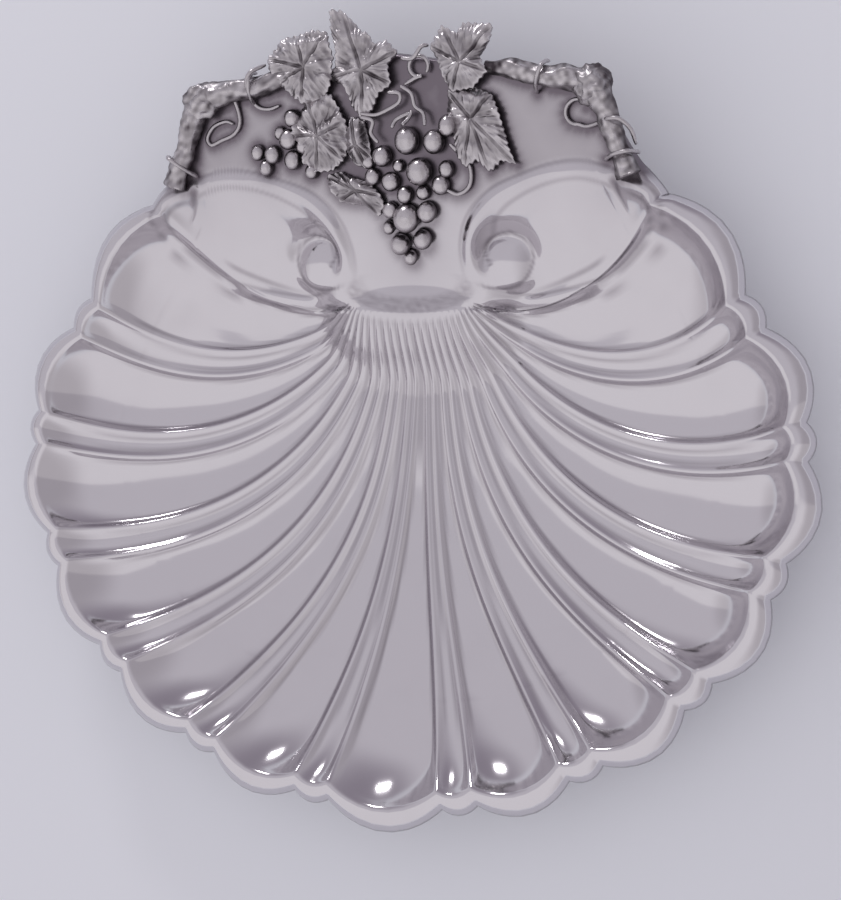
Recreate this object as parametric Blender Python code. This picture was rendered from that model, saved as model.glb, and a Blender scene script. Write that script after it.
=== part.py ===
"""Shell-shaped bowl of silver-plated sheet, with a cast grapevine soldered on its back ledge.

The bowl opens upwards and stands on the pressed bottoms of its middle flutes. The shell's hinge
and the ledge with the vine are at +Y. The finished part is moved so that its origin is on the table
under the middle of its box. All lengths are in metres.
"""
import math

import bmesh
import bpy
import numpy as np
from mathutils import Matrix
from mathutils.bvhtree import BVHTree

# Rim of the shell, through the notches between its lobes
HALF_WIDTH = 0.165
WIDEST_Y = -0.002
FRONT_Y = -0.1525
SHOULDER_X = 0.110
SHOULDER_Y = 0.094
FRONT_ROUNDNESS = 0.085
SIDE_ROUNDNESS = 0.088
UPPER_SIDE_ROUNDNESS = 0.020
SHOULDER_PULL_X = 0.034
SHOULDER_PULL_Y = 0.040

# Lobes: their shares of the rim's length, and how far each swells past its notches
LARGE_LOBES = 13
END_LOBE_SHARE = 49.0
LARGE_LOBE_SHARE = 39.3
SMALL_LOBE_SHARE = 15.0
LOBE_SWELL = 0.19
CREST_SWELL = 0.8
SWELL_FROM = 0.78

# Depth of the bowl and the sheet that it is stamped from
SHEET = 0.0014
DISH_DEPTH = 0.0380
DISH_FULLNESS = 2.9
DISH_CENTRE_Y = 0.024
LARGE_TROUGH = 0.0034
SMALL_TROUGH = 0.0022
TROUGH_ROUNDNESS = 2.4
TROUGH_FULL_FROM = 0.45
TROUGH_FULL_TO = 0.82
FOOT_PRESS = 0.0026

# Edge turned over outside the crest of the rim, and round the ledge
LIP_RUN = 0.0080
LIP_DROP = 0.0057
LEDGE_LIP_RUN = 0.0024
LEDGE_LIP_DROP = 0.0034
LEDGE_LIP_SHARE = 0.25

# Hinge, where all the flutes start
HINGE_HALF_WIDTH = 0.0264
HINGE_Y = 0.0543
HINGE_FRONT = 0.0100
HINGE_BACK = 0.0060
HINGE_BELOW_RIM = 0.0200
HINGE_SPREAD = 0.032
HINGE_BACK_SPREAD = 0.018
HINGE_FLAT_SHARE = 0.7
HINGE_LEAD_SHARE = 0.3

# Sweep of the lines between the flutes, from the hinge to the rim
MIDDLE_START_ANGLE = -89.0
OUTER_START_TURN = 71.0
START_TURN_POWER = 3.1
START_PULL = 0.42
START_PULL_LOSS = 0.09
END_PULL = 0.41
END_SWEEP = 19.0

# Back edge of the bowl and the ledge behind it
BACK_EDGE_Y = 0.104
BACK_EDGE_BOW = 0.010
BACK_BELOW_RIM = 0.004
SHOULDER_ABOVE_RIM = 0.004
BACK_RISE_FROM = 0.050
BACK_RISE_TO = 0.090
LEDGE_SLOPE = 0.20
LEDGE_SIDE_X = 0.0955
LEDGE_SIDE_Y = 0.103
LEDGE_CORNER_X = 0.083
LEDGE_CORNER_Y = 0.136
LEDGE_BACK_Y = 0.150
BACK_START_TURN = -43.0
BACK_END_TURN = 36.0
BACK_START_PULL = 0.34
BACK_END_PULL = 0.40

# Volutes: plan lines of the right one, the left is its mirror image. Each roll starts beside its eye and
# ends at the shoulder; its third number is the height of its crest about the rim
ROLL_LINE = (
    (0.0413, 0.0600, -0.0265), (0.0306, 0.0632, -0.0190), (0.0272, 0.0718, -0.0105),
    (0.0290, 0.0807, -0.0050), (0.0360, 0.0905, -0.0026), (0.0463, 0.0975, -0.0024),
    (0.0607, 0.1032, -0.0026), (0.0742, 0.1040, -0.0026), (0.0852, 0.1015, -0.0012),
    (0.0935, 0.0978, 0.0010), (0.1000, 0.0962, 0.0026))
ROLL_SHARES = (0.0, 0.25, 0.42, 0.6, 1.0)
ROLL_WIDTHS = (0.0070, 0.0125, 0.0120, 0.0085, 0.0062)
ROLL_START_SHARE = 0.1
EYE_X = 0.0413
EYE_Y = 0.0715
EYE_BELOW_RIM = 0.0205
EYE_RADIUS = 0.0102
EYE_DOME = 0.0026
EYE_EDGE_SHARE = 1.25
EYE_FALL_OUT = 0.34
EYE_RISE_BACK = 0.20
INNER_RIDGE = (
    (0.0360, 0.0585), (0.0454, 0.0592), (0.0601, 0.0605), (0.0749, 0.0668), (0.0828, 0.0724),
    (0.0870, 0.0790))
INNER_RIDGE_HEIGHT = 0.0017
INNER_RIDGE_WIDTH = 0.0050
OUTER_RIDGE = (
    (0.0270, 0.0570), (0.0516, 0.0560), (0.0774, 0.0622), (0.0936, 0.0693), (0.1036, 0.0793),
    (0.1077, 0.0869), (0.1054, 0.0924), (0.0997, 0.0953), (0.0943, 0.0947))
OUTER_RIDGE_HEIGHT = 0.0016
OUTER_RIDGE_WIDTH = 0.0042
RIDGE_FADE = 0.7

# Tongue between the volutes: its side, and its fall from the ledge to the hinge as places and heights
TONGUE_SIDE = (
    (0.0262, 0.0500), (0.0256, 0.0620), (0.0262, 0.0720), (0.0288, 0.0810), (0.0360, 0.0905),
    (0.0463, 0.0975), (0.0607, 0.1032), (0.0742, 0.1040), (0.0852, 0.1015), (0.1000, 0.0962),
    (0.1200, 0.0930))
TONGUE_FALL = (
    (0.0400, -0.0200), (0.0520, -0.0200), (0.0575, -0.0214), (0.0640, -0.0238), (0.0720, -0.0196),
    (0.0820, -0.0112), (0.0920, -0.0062), (0.1040, -0.0040))
TONGUE_STEP = 0.0035
TONGUE_HOLLOW = 0.0030
TONGUE_HALF_WIDTH = 0.026
TONGUE_HOLLOW_LIMIT = 1.2
TONGUE_HOLLOW_Y = 0.070

# Grid of the stamped sheet
LARGE_STEPS = (0.0, 0.12, 0.38, 0.62, 0.88)
SMALL_STEPS = (0.0, 0.33, 0.67)
ROWS = np.array((0.0, 0.08, 0.18, 0.30, 0.43, 0.56, 0.69, 0.81, 0.92, 1.0))
BACK_ROWS = np.array((
    0.0, 0.04, 0.08, 0.13, 0.18, 0.24, 0.30, 0.36, 0.43, 0.495, 0.56, 0.69, 0.81, 0.92, 1.0))
LIP_STEPS = ((0.62, 0.26), (1.0, 1.0))
BACK_COLUMNS = 44

# Vine casting: heights are over the ledge that it lies on, plan places are about the bowl's axis.
# Its forms reach below the sole until they are cut off level
SEAT_GAP = 0.0008
SEAT_SPAN = 0.0026
CASTING_SOLE = 0.0020
PLATE_HEIGHT = 0.0014
BRANCH_RADIUS = 0.0042
BRANCH_HEIGHT = 0.0040
BRANCH_KNOB = 0.10
BRANCH_KNOB_TURN = 1.9
KNOT_FLATNESS = 0.85
KNOT_RADIUS = 0.0064
TENDRIL_RADIUS = 0.0011
TENDRIL_HEIGHT = 0.0022
WRAP_RADIUS = 0.0050
LOOP_RADIUS = 0.0046
CURL_RADIUS = 0.0040
LEAF_HEIGHT = 0.0056
LEAF_EDGE_HEIGHT = 0.0034
LEAF_VEIN_DROP = 0.0009
LEAF_SHOULDER = 0.55
LEAF_FLANK = 0.22
LEAF_FLANK_REACH = 0.80
LEAF_NOTCH = 0.60
LEAF_SOLE_SHARES = (0.9, 0.8, 0.7, 0.6)
GRAPE_SEAT = 0.72
CASTING_FACETS = 4050
FUSE_GRAIN = 0.00066
FUSE_TRIES = 8
FUSE_STEP = 0.03
SOLE_GRID = (24, 14)
SOLE_HALF_WIDTH = 0.115
SOLE_HALF_DEPTH = 0.060
SOLE_MIDDLE_Y = 0.123

# Ground of the casting, which joins grapes, leaves and stems
PLATE_OUTLINE = (
    (-0.062, 0.112), (-0.052, 0.126), (-0.046, 0.144), (0.034, 0.1455), (0.044, 0.138),
    (0.030, 0.118), (0.022, 0.100), (0.010, 0.078), (0.001, 0.071), (-0.008, 0.082),
    (-0.022, 0.100), (-0.040, 0.104), (-0.058, 0.106))

# Grapes: place and radius
BUNCH = (
    (0.0044, 0.1169, 0.0050), (0.0149, 0.1157, 0.0044), (-0.0061, 0.1124, 0.0040),
    (0.0089, 0.1052, 0.0048), (0.0197, 0.1060, 0.0030), (0.0174, 0.0998, 0.0033),
    (-0.0024, 0.1019, 0.0034), (-0.0101, 0.1037, 0.0028), (0.0029, 0.0962, 0.0028),
    (0.0023, 0.0878, 0.0048), (0.0110, 0.0900, 0.0036), (-0.0035, 0.0905, 0.0027),
    (-0.0052, 0.0839, 0.0026), (-0.0013, 0.0791, 0.0034), (0.0079, 0.0797, 0.0033),
    (0.0018, 0.0734, 0.0029), (0.0185, 0.1219, 0.0040))
SIDE_BUNCH = (
    (-0.0600, 0.1139, 0.0028), (-0.0533, 0.1128, 0.0033), (-0.0571, 0.1080, 0.0029),
    (-0.0448, 0.1109, 0.0035), (-0.0368, 0.1062, 0.0027), (-0.0470, 0.1270, 0.0030),
    (-0.0480, 0.1192, 0.0032))

# Leaves: place of the stem end, then the direction in degrees and length of each lobe
LEFT_LEAF = ((-0.034, 0.132), (
    (153, 0.018), (128, 0.026), (100, 0.027), (62, 0.026), (20, 0.012), (-30, 0.017),
    (-62, 0.030), (-101, 0.026), (-145, 0.014)))
TALL_LEAF = ((-0.013, 0.132), (
    (106, 0.036), (74, 0.022), (48, 0.021), (5, 0.012), (-60, 0.013), (-120, 0.013), (163, 0.016),
    (128, 0.022)))
RIGHT_LEAF = ((0.022, 0.131), (
    (95, 0.027), (56, 0.033), (29, 0.020), (-10, 0.025), (-37, 0.035), (-82, 0.021), (-150, 0.010),
    (150, 0.012)))
SMALL_LEAF = ((-0.017, 0.099), (
    (143, 0.015), (198, 0.010), (-75, 0.010), (-34, 0.015), (29, 0.013), (90, 0.010)))

# Branch: plan places of the right one, from its cut end over the corner knot to the leaves
BRANCH_LINE = (
    (0.0980, 0.0965), (0.0950, 0.1015), (0.0905, 0.1140), (0.0860, 0.1270), (0.0815, 0.1345),
    (0.0730, 0.1372), (0.0610, 0.1390), (0.0500, 0.1420), (0.0380, 0.1440), (0.0260, 0.1440))
KNOT = (0.0822, 0.1338)
WRAPS = (
    (0.0926, 0.1085, 110.0), (0.0600, 0.1394, 168.0), (-0.0890, 0.1180, 70.0), (-0.0560, 0.1402, 15.0))
RIGHT_TENDRIL = (
    (0.0750, 0.1197), (0.0847, 0.1195), (0.0918, 0.1190), (0.0960, 0.1150), (0.0965, 0.1085))
LEFT_TENDRIL = (
    (-0.0674, 0.1390), (-0.0690, 0.1300), (-0.0700, 0.1225), (-0.0745, 0.1185), (-0.0790, 0.1200),
    (-0.0780, 0.1250), (-0.0730, 0.1275), (-0.0690, 0.1270))
BUNCH_TENDRIL = (
    (0.0170, 0.1125), (0.0269, 0.1112), (0.0291, 0.1052), (0.0252, 0.0986), (0.0180, 0.0965))
STEM = ((0.0012, 0.1379), (0.0070, 0.1330), (0.0105, 0.1276), (0.0130, 0.1200))
LOOP = (0.0750, 0.1243)
CURL = (0.0100, 0.1467)

SILVER = (0.78, 0.76, 0.77)
OLD_SILVER = (0.55, 0.53, 0.54)

# The pressed trough bottoms stand on the table, so the rim's crest lies this high
RIM_HEIGHT = DISH_DEPTH + LARGE_TROUGH - FOOT_PRESS + SHEET


def cubic(p0, p1, p2, p3, t):
    """Points of cubic curves through plan points p0 to p3, at the parameters t on a last axis."""
    t = np.asarray(t)[..., None]
    s = 1.0 - t
    return p0 * s**3 + 3 * p1 * s**2 * t + 3 * p2 * s * t**2 + p3 * t**3


def smooth(edge0, edge1, value):
    """Smooth step from 0 at edge0 to 1 at edge1."""
    t = np.clip((value - edge0) / (edge1 - edge0), 0.0, 1.0)
    return t * t * (3.0 - 2.0 * t)


def hump(distance, width):
    """Round hump: 1 at no distance, 0 at the width and beyond."""
    return (1.0 - np.clip(np.abs(distance) / width, 0.0, 1.0)**2)**2


def by_length(points, shares):
    """Points at the given shares, 0 to 1, of a polyline's length."""
    run = np.concatenate([[0.0], np.cumsum(np.linalg.norm(np.diff(points, axis=0), axis=1))])
    return np.stack([np.interp(np.asarray(shares) * run[-1], run, c) for c in points.T], -1)


def smooth_line(points, count):
    """Smooth curve through a few points, at even steps of its length."""
    p = np.asarray(points, float)
    padded = np.concatenate([[2 * p[0] - p[1]], p, [2 * p[-1] - p[-2]]])
    out = []
    for i in range(len(p) - 1):
        a, b, c, d = padded[i:i + 4]
        t = np.linspace(0, 1, 12)[:-1, None]
        bend = (2 * a - 5 * b + 4 * c - d) * t**2 + (3 * b - a - 3 * c + d) * t**3
        out.append(0.5 * (2 * b + (c - a) * t + bend))
    return by_length(np.concatenate([*out, p[-1:]]), np.linspace(0, 1, count))


def outward(points):
    """Unit plan normals on the left of a line, which is outside when it runs clockwise."""
    along = np.gradient(points, axis=0)
    along /= np.linalg.norm(along, axis=1)[:, None]
    return np.stack([-along[:, 1], along[:, 0]], -1)


def mirrored(points):
    """The same points run backwards on the other side of the bowl."""
    return points[::-1] * [-1.0, 1.0]


def rim_guide():
    """Smooth line through the rim's notches, clockwise from the right shoulder to the left one."""
    t = np.linspace(0.0, 1.0, 160)
    shoulder = np.array([SHOULDER_X, SHOULDER_Y])
    side = np.array([HALF_WIDTH, WIDEST_Y])
    front = np.array([0.0, FRONT_Y])
    upper = cubic(shoulder, shoulder + [SHOULDER_PULL_X, -SHOULDER_PULL_Y],
                  side + [0.0, UPPER_SIDE_ROUNDNESS], side, t)
    lower = cubic(side, side - [0.0, SIDE_ROUNDNESS], front + [FRONT_ROUNDNESS, 0.0], front, t)
    right = np.concatenate([upper, lower[1:]])
    return by_length(np.concatenate([right, mirrored(right)[1:]]), np.linspace(0.0, 1.0, 401))


GUIDE = rim_guide()
GUIDE_SHARES = np.linspace(0.0, 1.0, len(GUIDE))
GUIDE_NORMALS = outward(GUIDE)
GUIDE_LENGTH = np.linalg.norm(np.diff(GUIDE, axis=0), axis=1).sum()


def on_guide(share):
    """Points and outward normals of the rim guide at shares of its length."""
    point = np.stack([np.interp(share, GUIDE_SHARES, c) for c in GUIDE.T], -1)
    normal = np.stack([np.interp(share, GUIDE_SHARES, c) for c in GUIDE_NORMALS.T], -1)
    return point, normal


def back_edge(x):
    """Y of the bowl's back edge, where it meets the ledge."""
    return BACK_EDGE_Y - BACK_EDGE_BOW * (x / SHOULDER_X)**2


def bowl_edge():
    """Angles about the bowl's centre and distances of its edge: the rim's crest and the back edge."""
    crest = GUIDE - GUIDE_NORMALS * LIP_RUN
    x = np.linspace(-SHOULDER_X, SHOULDER_X, 60)[4:-4]
    back = np.stack([x, back_edge(x)], -1)
    line = np.concatenate([crest, back]) - [0.0, DISH_CENTRE_Y]
    angle = np.arctan2(line[:, 1], line[:, 0])
    order = np.argsort(angle)
    return angle[order], np.hypot(line[:, 0], line[:, 1])[order]


EDGE_ANGLES, EDGE_REACH = bowl_edge()


def hinge_oval(angle):
    """Points of the oval where the flutes (below) and the tongue (above) start, from its right end."""
    y = np.sin(angle)
    return np.stack([HINGE_HALF_WIDTH * np.cos(angle),
                     HINGE_Y + y * np.where(y < 0, HINGE_FRONT, HINGE_BACK)], -1)


def line_handles(start, end, number, flutes):
    """Inner control points of the lines between flutes, straight at the middle, swept at the sides."""
    side = np.where(number <= flutes / 2, 1.0, -1.0)
    off = np.abs(1.0 - 2.0 * number / flutes)
    chord = np.linalg.norm(end - start, axis=1)[:, None]
    a1 = np.radians(MIDDLE_START_ANGLE + OUTER_START_TURN * off**START_TURN_POWER)
    rim = np.arctan2(end[:, 1], np.abs(end[:, 0]))
    a2 = rim + math.pi + math.radians(END_SWEEP) * np.cos(rim)
    pull = (START_PULL - START_PULL_LOSS * off)[:, None]
    first = start + np.stack([side * np.cos(a1), np.sin(a1)], -1) * chord * pull
    return first, end + np.stack([side * np.cos(a2), np.sin(a2)], -1) * chord * END_PULL


def fan_lines(number, share):
    """Control points of the lines that run from the hinge to the rim's crest."""
    flutes = 2 * LARGE_LOBES - 1
    point, normal = on_guide(share)
    crest = point - normal * LIP_RUN
    start = hinge_oval(-math.pi * number / flutes)
    first, last = line_handles(start, crest, number, flutes)
    return start, first, last, crest


ROLL = smooth_line(ROLL_LINE, 120)
BORDER = smooth_line(TONGUE_SIDE, 120)
RIDGES = (
    (smooth_line(INNER_RIDGE, 80), INNER_RIDGE_HEIGHT, INNER_RIDGE_WIDTH),
    (smooth_line(OUTER_RIDGE, 100), OUTER_RIDGE_HEIGHT, OUTER_RIDGE_WIDTH))


def nearest(x, y, line):
    """Distance from each point to a sampled line, how far along it that is, and the side: 1 on its left."""
    away = np.hypot(x[..., None] - line[:, 0], y[..., None] - line[:, 1])
    index = away.argmin(-1)
    along = np.gradient(line[:, :2], axis=0)[index]
    side = np.sign(along[..., 0] * (y - line[index, 1]) - along[..., 1] * (x - line[index, 0]))
    return np.take_along_axis(away, index[..., None], -1)[..., 0], index / (len(line) - 1), side


def field(x, y):
    """Plain bowl: flat in the middle, ever steeper to the rim, with the rim's rise at the back."""
    dy = y - DISH_CENTRE_Y
    out = np.clip(np.hypot(x, dy) / np.interp(np.arctan2(dy, x), EDGE_ANGLES, EDGE_REACH), 0, 1)
    rise = (SHOULDER_ABOVE_RIM + BACK_BELOW_RIM) * np.clip(x / SHOULDER_X, 0, 1)**2 - BACK_BELOW_RIM
    rise = rise * smooth(BACK_RISE_FROM, BACK_RISE_TO, y) * out**4
    return rise - DISH_DEPTH * (1.0 - out**DISH_FULLNESS)


def backland(x, y):
    """Tongue and ledge: a fall from the ledge to the hinge, hollow across, and a gentle rise behind."""
    bow = np.clip(x / SHOULDER_X, 0, 1)**2
    back = y + BACK_EDGE_BOW * bow
    fall = smooth_line(TONGUE_FALL, 60)
    z = np.interp(back, fall[:, 0], fall[:, 1]) + (SHOULDER_ABOVE_RIM + BACK_BELOW_RIM) * bow
    hollow = np.clip(x / TONGUE_HALF_WIDTH, 0, TONGUE_HOLLOW_LIMIT)**2
    hollow = hollow * smooth(HINGE_Y, HINGE_Y + HINGE_BACK, y)
    hollow = hollow * (1 - smooth(TONGUE_HOLLOW_Y, BACK_RISE_TO, y))
    return z + TONGUE_HOLLOW * hollow + LEDGE_SLOPE * np.clip(back - BACK_EDGE_Y, 0, None)


def surface(x, y):
    """Height about the rim of the sheet's upper face, without the flutes' troughs."""
    x = np.abs(x)
    away, _, side = nearest(x, y, BORDER)
    behind = smooth(-TONGUE_STEP, TONGUE_STEP, away * side) * smooth(HINGE_Y - HINGE_FRONT, HINGE_Y, y)
    z = field(x, y)
    ahead = y - HINGE_Y + HINGE_FRONT * HINGE_LEAD_SHARE
    beside = np.clip(x - HINGE_HALF_WIDTH * HINGE_FLAT_SHARE, 0, None)
    spread = np.where(ahead < 0, HINGE_SPREAD, HINGE_BACK_SPREAD)
    z = z + (-HINGE_BELOW_RIM - z) * hump(np.hypot(beside, ahead), spread)
    z = z + (backland(x, y) - z) * behind
    away, share, side = nearest(x, y, ROLL)
    width = np.where(side > 0, ROLL_WIDTHS[-1], np.interp(share, ROLL_SHARES, ROLL_WIDTHS))
    crest = np.interp(share, np.linspace(0, 1, len(ROLL)), ROLL[:, 2])
    z = z + np.clip(crest - z, 0, None) * hump(away, width) * smooth(0.0, ROLL_START_SHARE, share)
    dx, dy = x - EYE_X, y - EYE_Y
    eye = np.hypot(dx, dy)
    button = -EYE_BELOW_RIM - EYE_FALL_OUT * dx + EYE_RISE_BACK * dy - EYE_DOME * (eye / EYE_RADIUS)**2
    z = z + (button - z) * (1 - smooth(EYE_RADIUS, EYE_EDGE_SHARE * EYE_RADIUS, eye))
    for line, rise, width in RIDGES:
        away, share, _ = nearest(x, y, line)
        z = z + rise * hump(away, width) * np.sin(math.pi * share)**RIDGE_FADE
    return z


def flute_columns():
    """Flute number with the fraction across, rim share, swell and trough depth of each column."""
    flutes = 2 * LARGE_LOBES - 1
    shares = [LARGE_LOBE_SHARE if f % 2 == 0 else SMALL_LOBE_SHARE for f in range(flutes)]
    for f in (0, flutes // 2, flutes - 1):
        shares[f] = END_LOBE_SHARE
    starts = np.concatenate([[0.0], np.cumsum(shares)]) / sum(shares)
    half_angle = 2.0 * math.atan(2.0 * LOBE_SWELL)
    columns = []
    for f in range(flutes):
        width = starts[f + 1] - starts[f]
        steps, depth = (LARGE_STEPS, LARGE_TROUGH) if f % 2 == 0 else (SMALL_STEPS, SMALL_TROUGH)
        for u in steps:
            arc = math.cos(half_angle * (2.0 * u - 1.0)) - math.cos(half_angle)
            swell = arc / (2.0 * math.sin(half_angle)) * width * GUIDE_LENGTH
            trough = depth * (1.0 - abs(2.0 * u - 1.0)**TROUGH_ROUNDNESS)
            columns.append((f + u, starts[f] + u * width, swell, trough))
    columns.append((flutes, 1.0, 0.0, 0.0))
    return np.array(columns).T


def fan_grid(rows):
    """Flutes and turned lip at shares of each line's way, column after column from the right shoulder."""
    number, share, swell, trough = flute_columns()
    start, first, last, crest = fan_lines(number, share)
    point, normal = on_guide(share)
    plan = cubic(start[:, None], first[:, None], last[:, None], crest[:, None], rows[None, :])
    swollen = (swell[:, None] * CREST_SWELL * smooth(SWELL_FROM, 1.0, rows))[..., None] * normal[:, None]
    full = smooth(0.0, TROUGH_FULL_FROM, rows) * (1.0 - smooth(TROUGH_FULL_TO, 1.0, rows))
    z = surface(plan[..., 0], plan[..., 1]) - trough[:, None] * full
    z = np.maximum(z, FOOT_PRESS - DISH_DEPTH - LARGE_TROUGH)
    grid = np.concatenate([plan + swollen, z[..., None]], -1)
    inner = crest + normal * (swell * CREST_SWELL)[:, None]
    edge = point + normal * swell[:, None]
    lip = [np.column_stack([inner + (edge - inner) * run, grid[:, -1, 2] - LIP_DROP * drop])
           for run, drop in LIP_STEPS]
    return np.concatenate([grid, np.stack(lip, 1)], 1)


def back_grid(shoulder):
    """Tongue, volutes and ledge, column after column from the right shoulder's to the left one's."""
    half = BACK_COLUMNS // 2
    q = np.arange(1, half + 1) / half
    outline = np.array([shoulder[len(BACK_ROWS) - 1, :2], (LEDGE_SIDE_X, LEDGE_SIDE_Y),
                        (LEDGE_CORNER_X, LEDGE_CORNER_Y), (0.0, LEDGE_BACK_Y)])
    fine = by_length(outline, np.linspace(0, 1, 200))
    normal = -outward(fine)
    end = by_length(fine, q)
    normal = np.stack([np.interp(q, np.linspace(0, 1, 200), c) for c in normal.T], -1)
    normal[-1] = (0.0, 1.0)
    start = hinge_oval(math.pi / 2 * q)
    chord = end - start
    first = start + BACK_START_PULL * turned(chord, math.radians(BACK_START_TURN) * (1 - q)**2)
    last = end - BACK_END_PULL * turned(chord, math.radians(BACK_END_TURN) * (1 - q)**2)
    plan = cubic(start[:, None], first[:, None], last[:, None], end[:, None], BACK_ROWS[None, :])
    z = surface(plan[..., 0], plan[..., 1])
    grid = np.concatenate([plan, z[..., None]], -1)
    blend = smooth(0.0, LEDGE_LIP_SHARE, q)
    run = LIP_RUN + (LEDGE_LIP_RUN - LIP_RUN) * blend
    drop = LIP_DROP + (LEDGE_LIP_DROP - LIP_DROP) * blend
    lip = [np.column_stack([end + normal * (run * r)[:, None], z[:, -1] - drop * d]) for r, d in LIP_STEPS]
    right = np.concatenate([grid, np.stack(lip, 1)], 1)
    return np.concatenate([right, right[-2::-1] * [-1.0, 1.0, 1.0]])


def turned(vectors, angle):
    """Plan vectors turned anticlockwise, each by its own angle in radians."""
    x, y = vectors[:, 0], vectors[:, 1]
    return np.stack([x * np.cos(angle) - y * np.sin(angle), x * np.sin(angle) + y * np.cos(angle)], -1)


def finish_material(name, colour, roughness):
    """Plain metal for one sub-part."""
    material = bpy.data.materials.new(name)
    material.use_nodes = True
    shader = material.node_tree.nodes["Principled BSDF"]
    shader.inputs["Base Color"].default_value = (*colour, 1.0)
    shader.inputs["Metallic"].default_value = 1.0
    shader.inputs["Roughness"].default_value = roughness
    return material


def add_object(name, mesh, material):
    """Object of a mesh with one material, in the scene."""
    item = bpy.data.objects.new(name, mesh)
    item.data.materials.append(material)
    bpy.context.scene.collection.objects.link(item)
    return item


def face_strip(bm, here, after):
    """Faces between two columns, as vertices by row; more rows in one give its faces more corners."""
    common = sorted(set(here) & set(after))
    for low, high in zip(common, common[1:]):
        up = [here[row] for row in sorted(here) if low <= row <= high]
        down = [after[row] for row in sorted(after, reverse=True) if low <= row <= high]
        bm.faces.new(up + down)


def shell_bowl():
    """Stamped sheet: flutes, lip, volutes and ledge in one closed grid round the hinge."""
    lips = [1.0 + run for run, _ in LIP_STEPS]
    fan = fan_grid(ROWS)
    shoulders = fan_grid(BACK_ROWS)[[0, -1]]
    back = back_grid(shoulders[0])[:-1]
    coarse, fine = [*ROWS, *lips], [*BACK_ROWS, *lips]
    columns = [(fine, shoulders[0]), *((coarse, column) for column in fan[1:-1]), (fine, shoulders[1])]
    columns += [(fine, column) for column in back[::-1]]
    bm = bmesh.new()
    verts = [{row: bm.verts.new(point + [0.0, 0.0, RIM_HEIGHT]) for row, point in zip(rows, column)}
             for rows, column in columns]
    hinge = []
    for here, after in zip(verts, verts[1:] + verts[:1]):
        face_strip(bm, here, after)
        hinge.append(bm.edges.get((here[0.0], after[0.0])))
    bmesh.ops.triangle_fill(bm, use_beauty=True, edges=hinge)
    bmesh.ops.recalc_face_normals(bm, faces=bm.faces)
    if sum(f.normal.z for f in bm.faces) < 0:
        bmesh.ops.reverse_faces(bm, faces=bm.faces)
    mesh = bpy.data.meshes.new("shell_bowl")
    bm.to_mesh(mesh)
    bm.free()
    mesh.shade_smooth()
    item = add_object("shell_bowl", mesh, finish_material("polished_silver", SILVER, 0.12))
    wall = item.modifiers.new("sheet", "SOLIDIFY")
    wall.thickness = SHEET
    wall.offset = -1.0
    return item


def tube(line, radii, sides, closed=False, upright=(0.0, 0.0, 1.0)):
    """Round tube along a line that is nowhere parallel to upright, capped unless it is a loop."""
    line = np.asarray(line, float)
    if closed:
        along = np.roll(line, -1, 0) - np.roll(line, 1, 0)
    else:
        along = np.gradient(line, axis=0)
    along /= np.linalg.norm(along, axis=1)[:, None]
    across = np.cross(along, upright)
    across /= np.linalg.norm(across, axis=1)[:, None]
    top = np.cross(across, along)
    bm = bmesh.new()
    rings = []
    for point, a, b, radius in zip(line, across, top, np.broadcast_to(radii, len(line))):
        turn = [2 * math.pi * (k + 0.5) / sides for k in range(sides)]
        rings.append([bm.verts.new(point + radius * (a * math.cos(t) + b * math.sin(t))) for t in turn])
    pairs = list(zip(rings, rings[1:]))
    if closed:
        pairs.append((rings[-1], rings[0]))
    for one, two in pairs:
        for k in range(sides):
            bm.faces.new((one[k], one[k - 1], two[k - 1], two[k]))
    if not closed:
        bm.faces.new(rings[0])
        bm.faces.new(rings[-1][::-1])
    bmesh.ops.recalc_face_normals(bm, faces=bm.faces)
    return bm


def at_height(line, height):
    """Plan line lifted to a height, the same all along or one for each point."""
    return np.column_stack([line, np.broadcast_to(height, len(line))])


def leaf(stem, lobes, sole):
    """Lobed leaf: a domed face over a raised edge, with a straight skirt down below the ledge."""
    centre = np.array(stem)
    outline = []
    for (a, r), (a2, r2) in zip(lobes, lobes[1:] + lobes[:1]):
        gap = (a2 - a + 180) % 360 - 180
        flank = LEAF_FLANK * gap
        outline += [(a, r), (a + flank, LEAF_FLANK_REACH * r), (a + gap / 2.0, LEAF_NOTCH * min(r, r2)),
                    (a2 - flank, LEAF_FLANK_REACH * r2)]
    angle, radius = np.radians([o[0] for o in outline]), np.array([o[1] for o in outline])
    way = np.stack([np.cos(angle), np.sin(angle)], -1)
    bm = bmesh.new()
    rings = []
    for share, height in ((LEAF_SHOULDER, LEAF_HEIGHT), (1.0, LEAF_EDGE_HEIGHT), (1.0, -sole)):
        ring = at_height(centre + way * (radius * share)[:, None], height)
        if share < 1.0:
            ring[1::2, 2] -= LEAF_VEIN_DROP
        rings.append([bm.verts.new(p) for p in ring])
    middle = bm.verts.new((*centre, LEAF_HEIGHT - LEAF_VEIN_DROP))
    count = len(outline)
    for k in range(count):
        bm.faces.new((middle, rings[0][k - 1], rings[0][k]))
        for upper, lower in zip(rings, rings[1:]):
            bm.faces.new((upper[k - 1], lower[k - 1], lower[k], upper[k]))
    bm.faces.new(rings[-1])
    bmesh.ops.recalc_face_normals(bm, faces=bm.faces)
    return bm


def ball(x, y, height, radius, flatness=1.0):
    """Round grape or knot."""
    bm = bmesh.new()
    bmesh.ops.create_icosphere(bm, subdivisions=2, radius=radius)
    bmesh.ops.scale(bm, vec=(1.0, 1.0, flatness), verts=bm.verts)
    bmesh.ops.rotate(bm, matrix=Matrix.Rotation(97.0 * x + 61.0 * y, 3, "Z"), verts=bm.verts)
    bmesh.ops.translate(bm, vec=(x, y, height), verts=bm.verts)
    return bm


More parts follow.
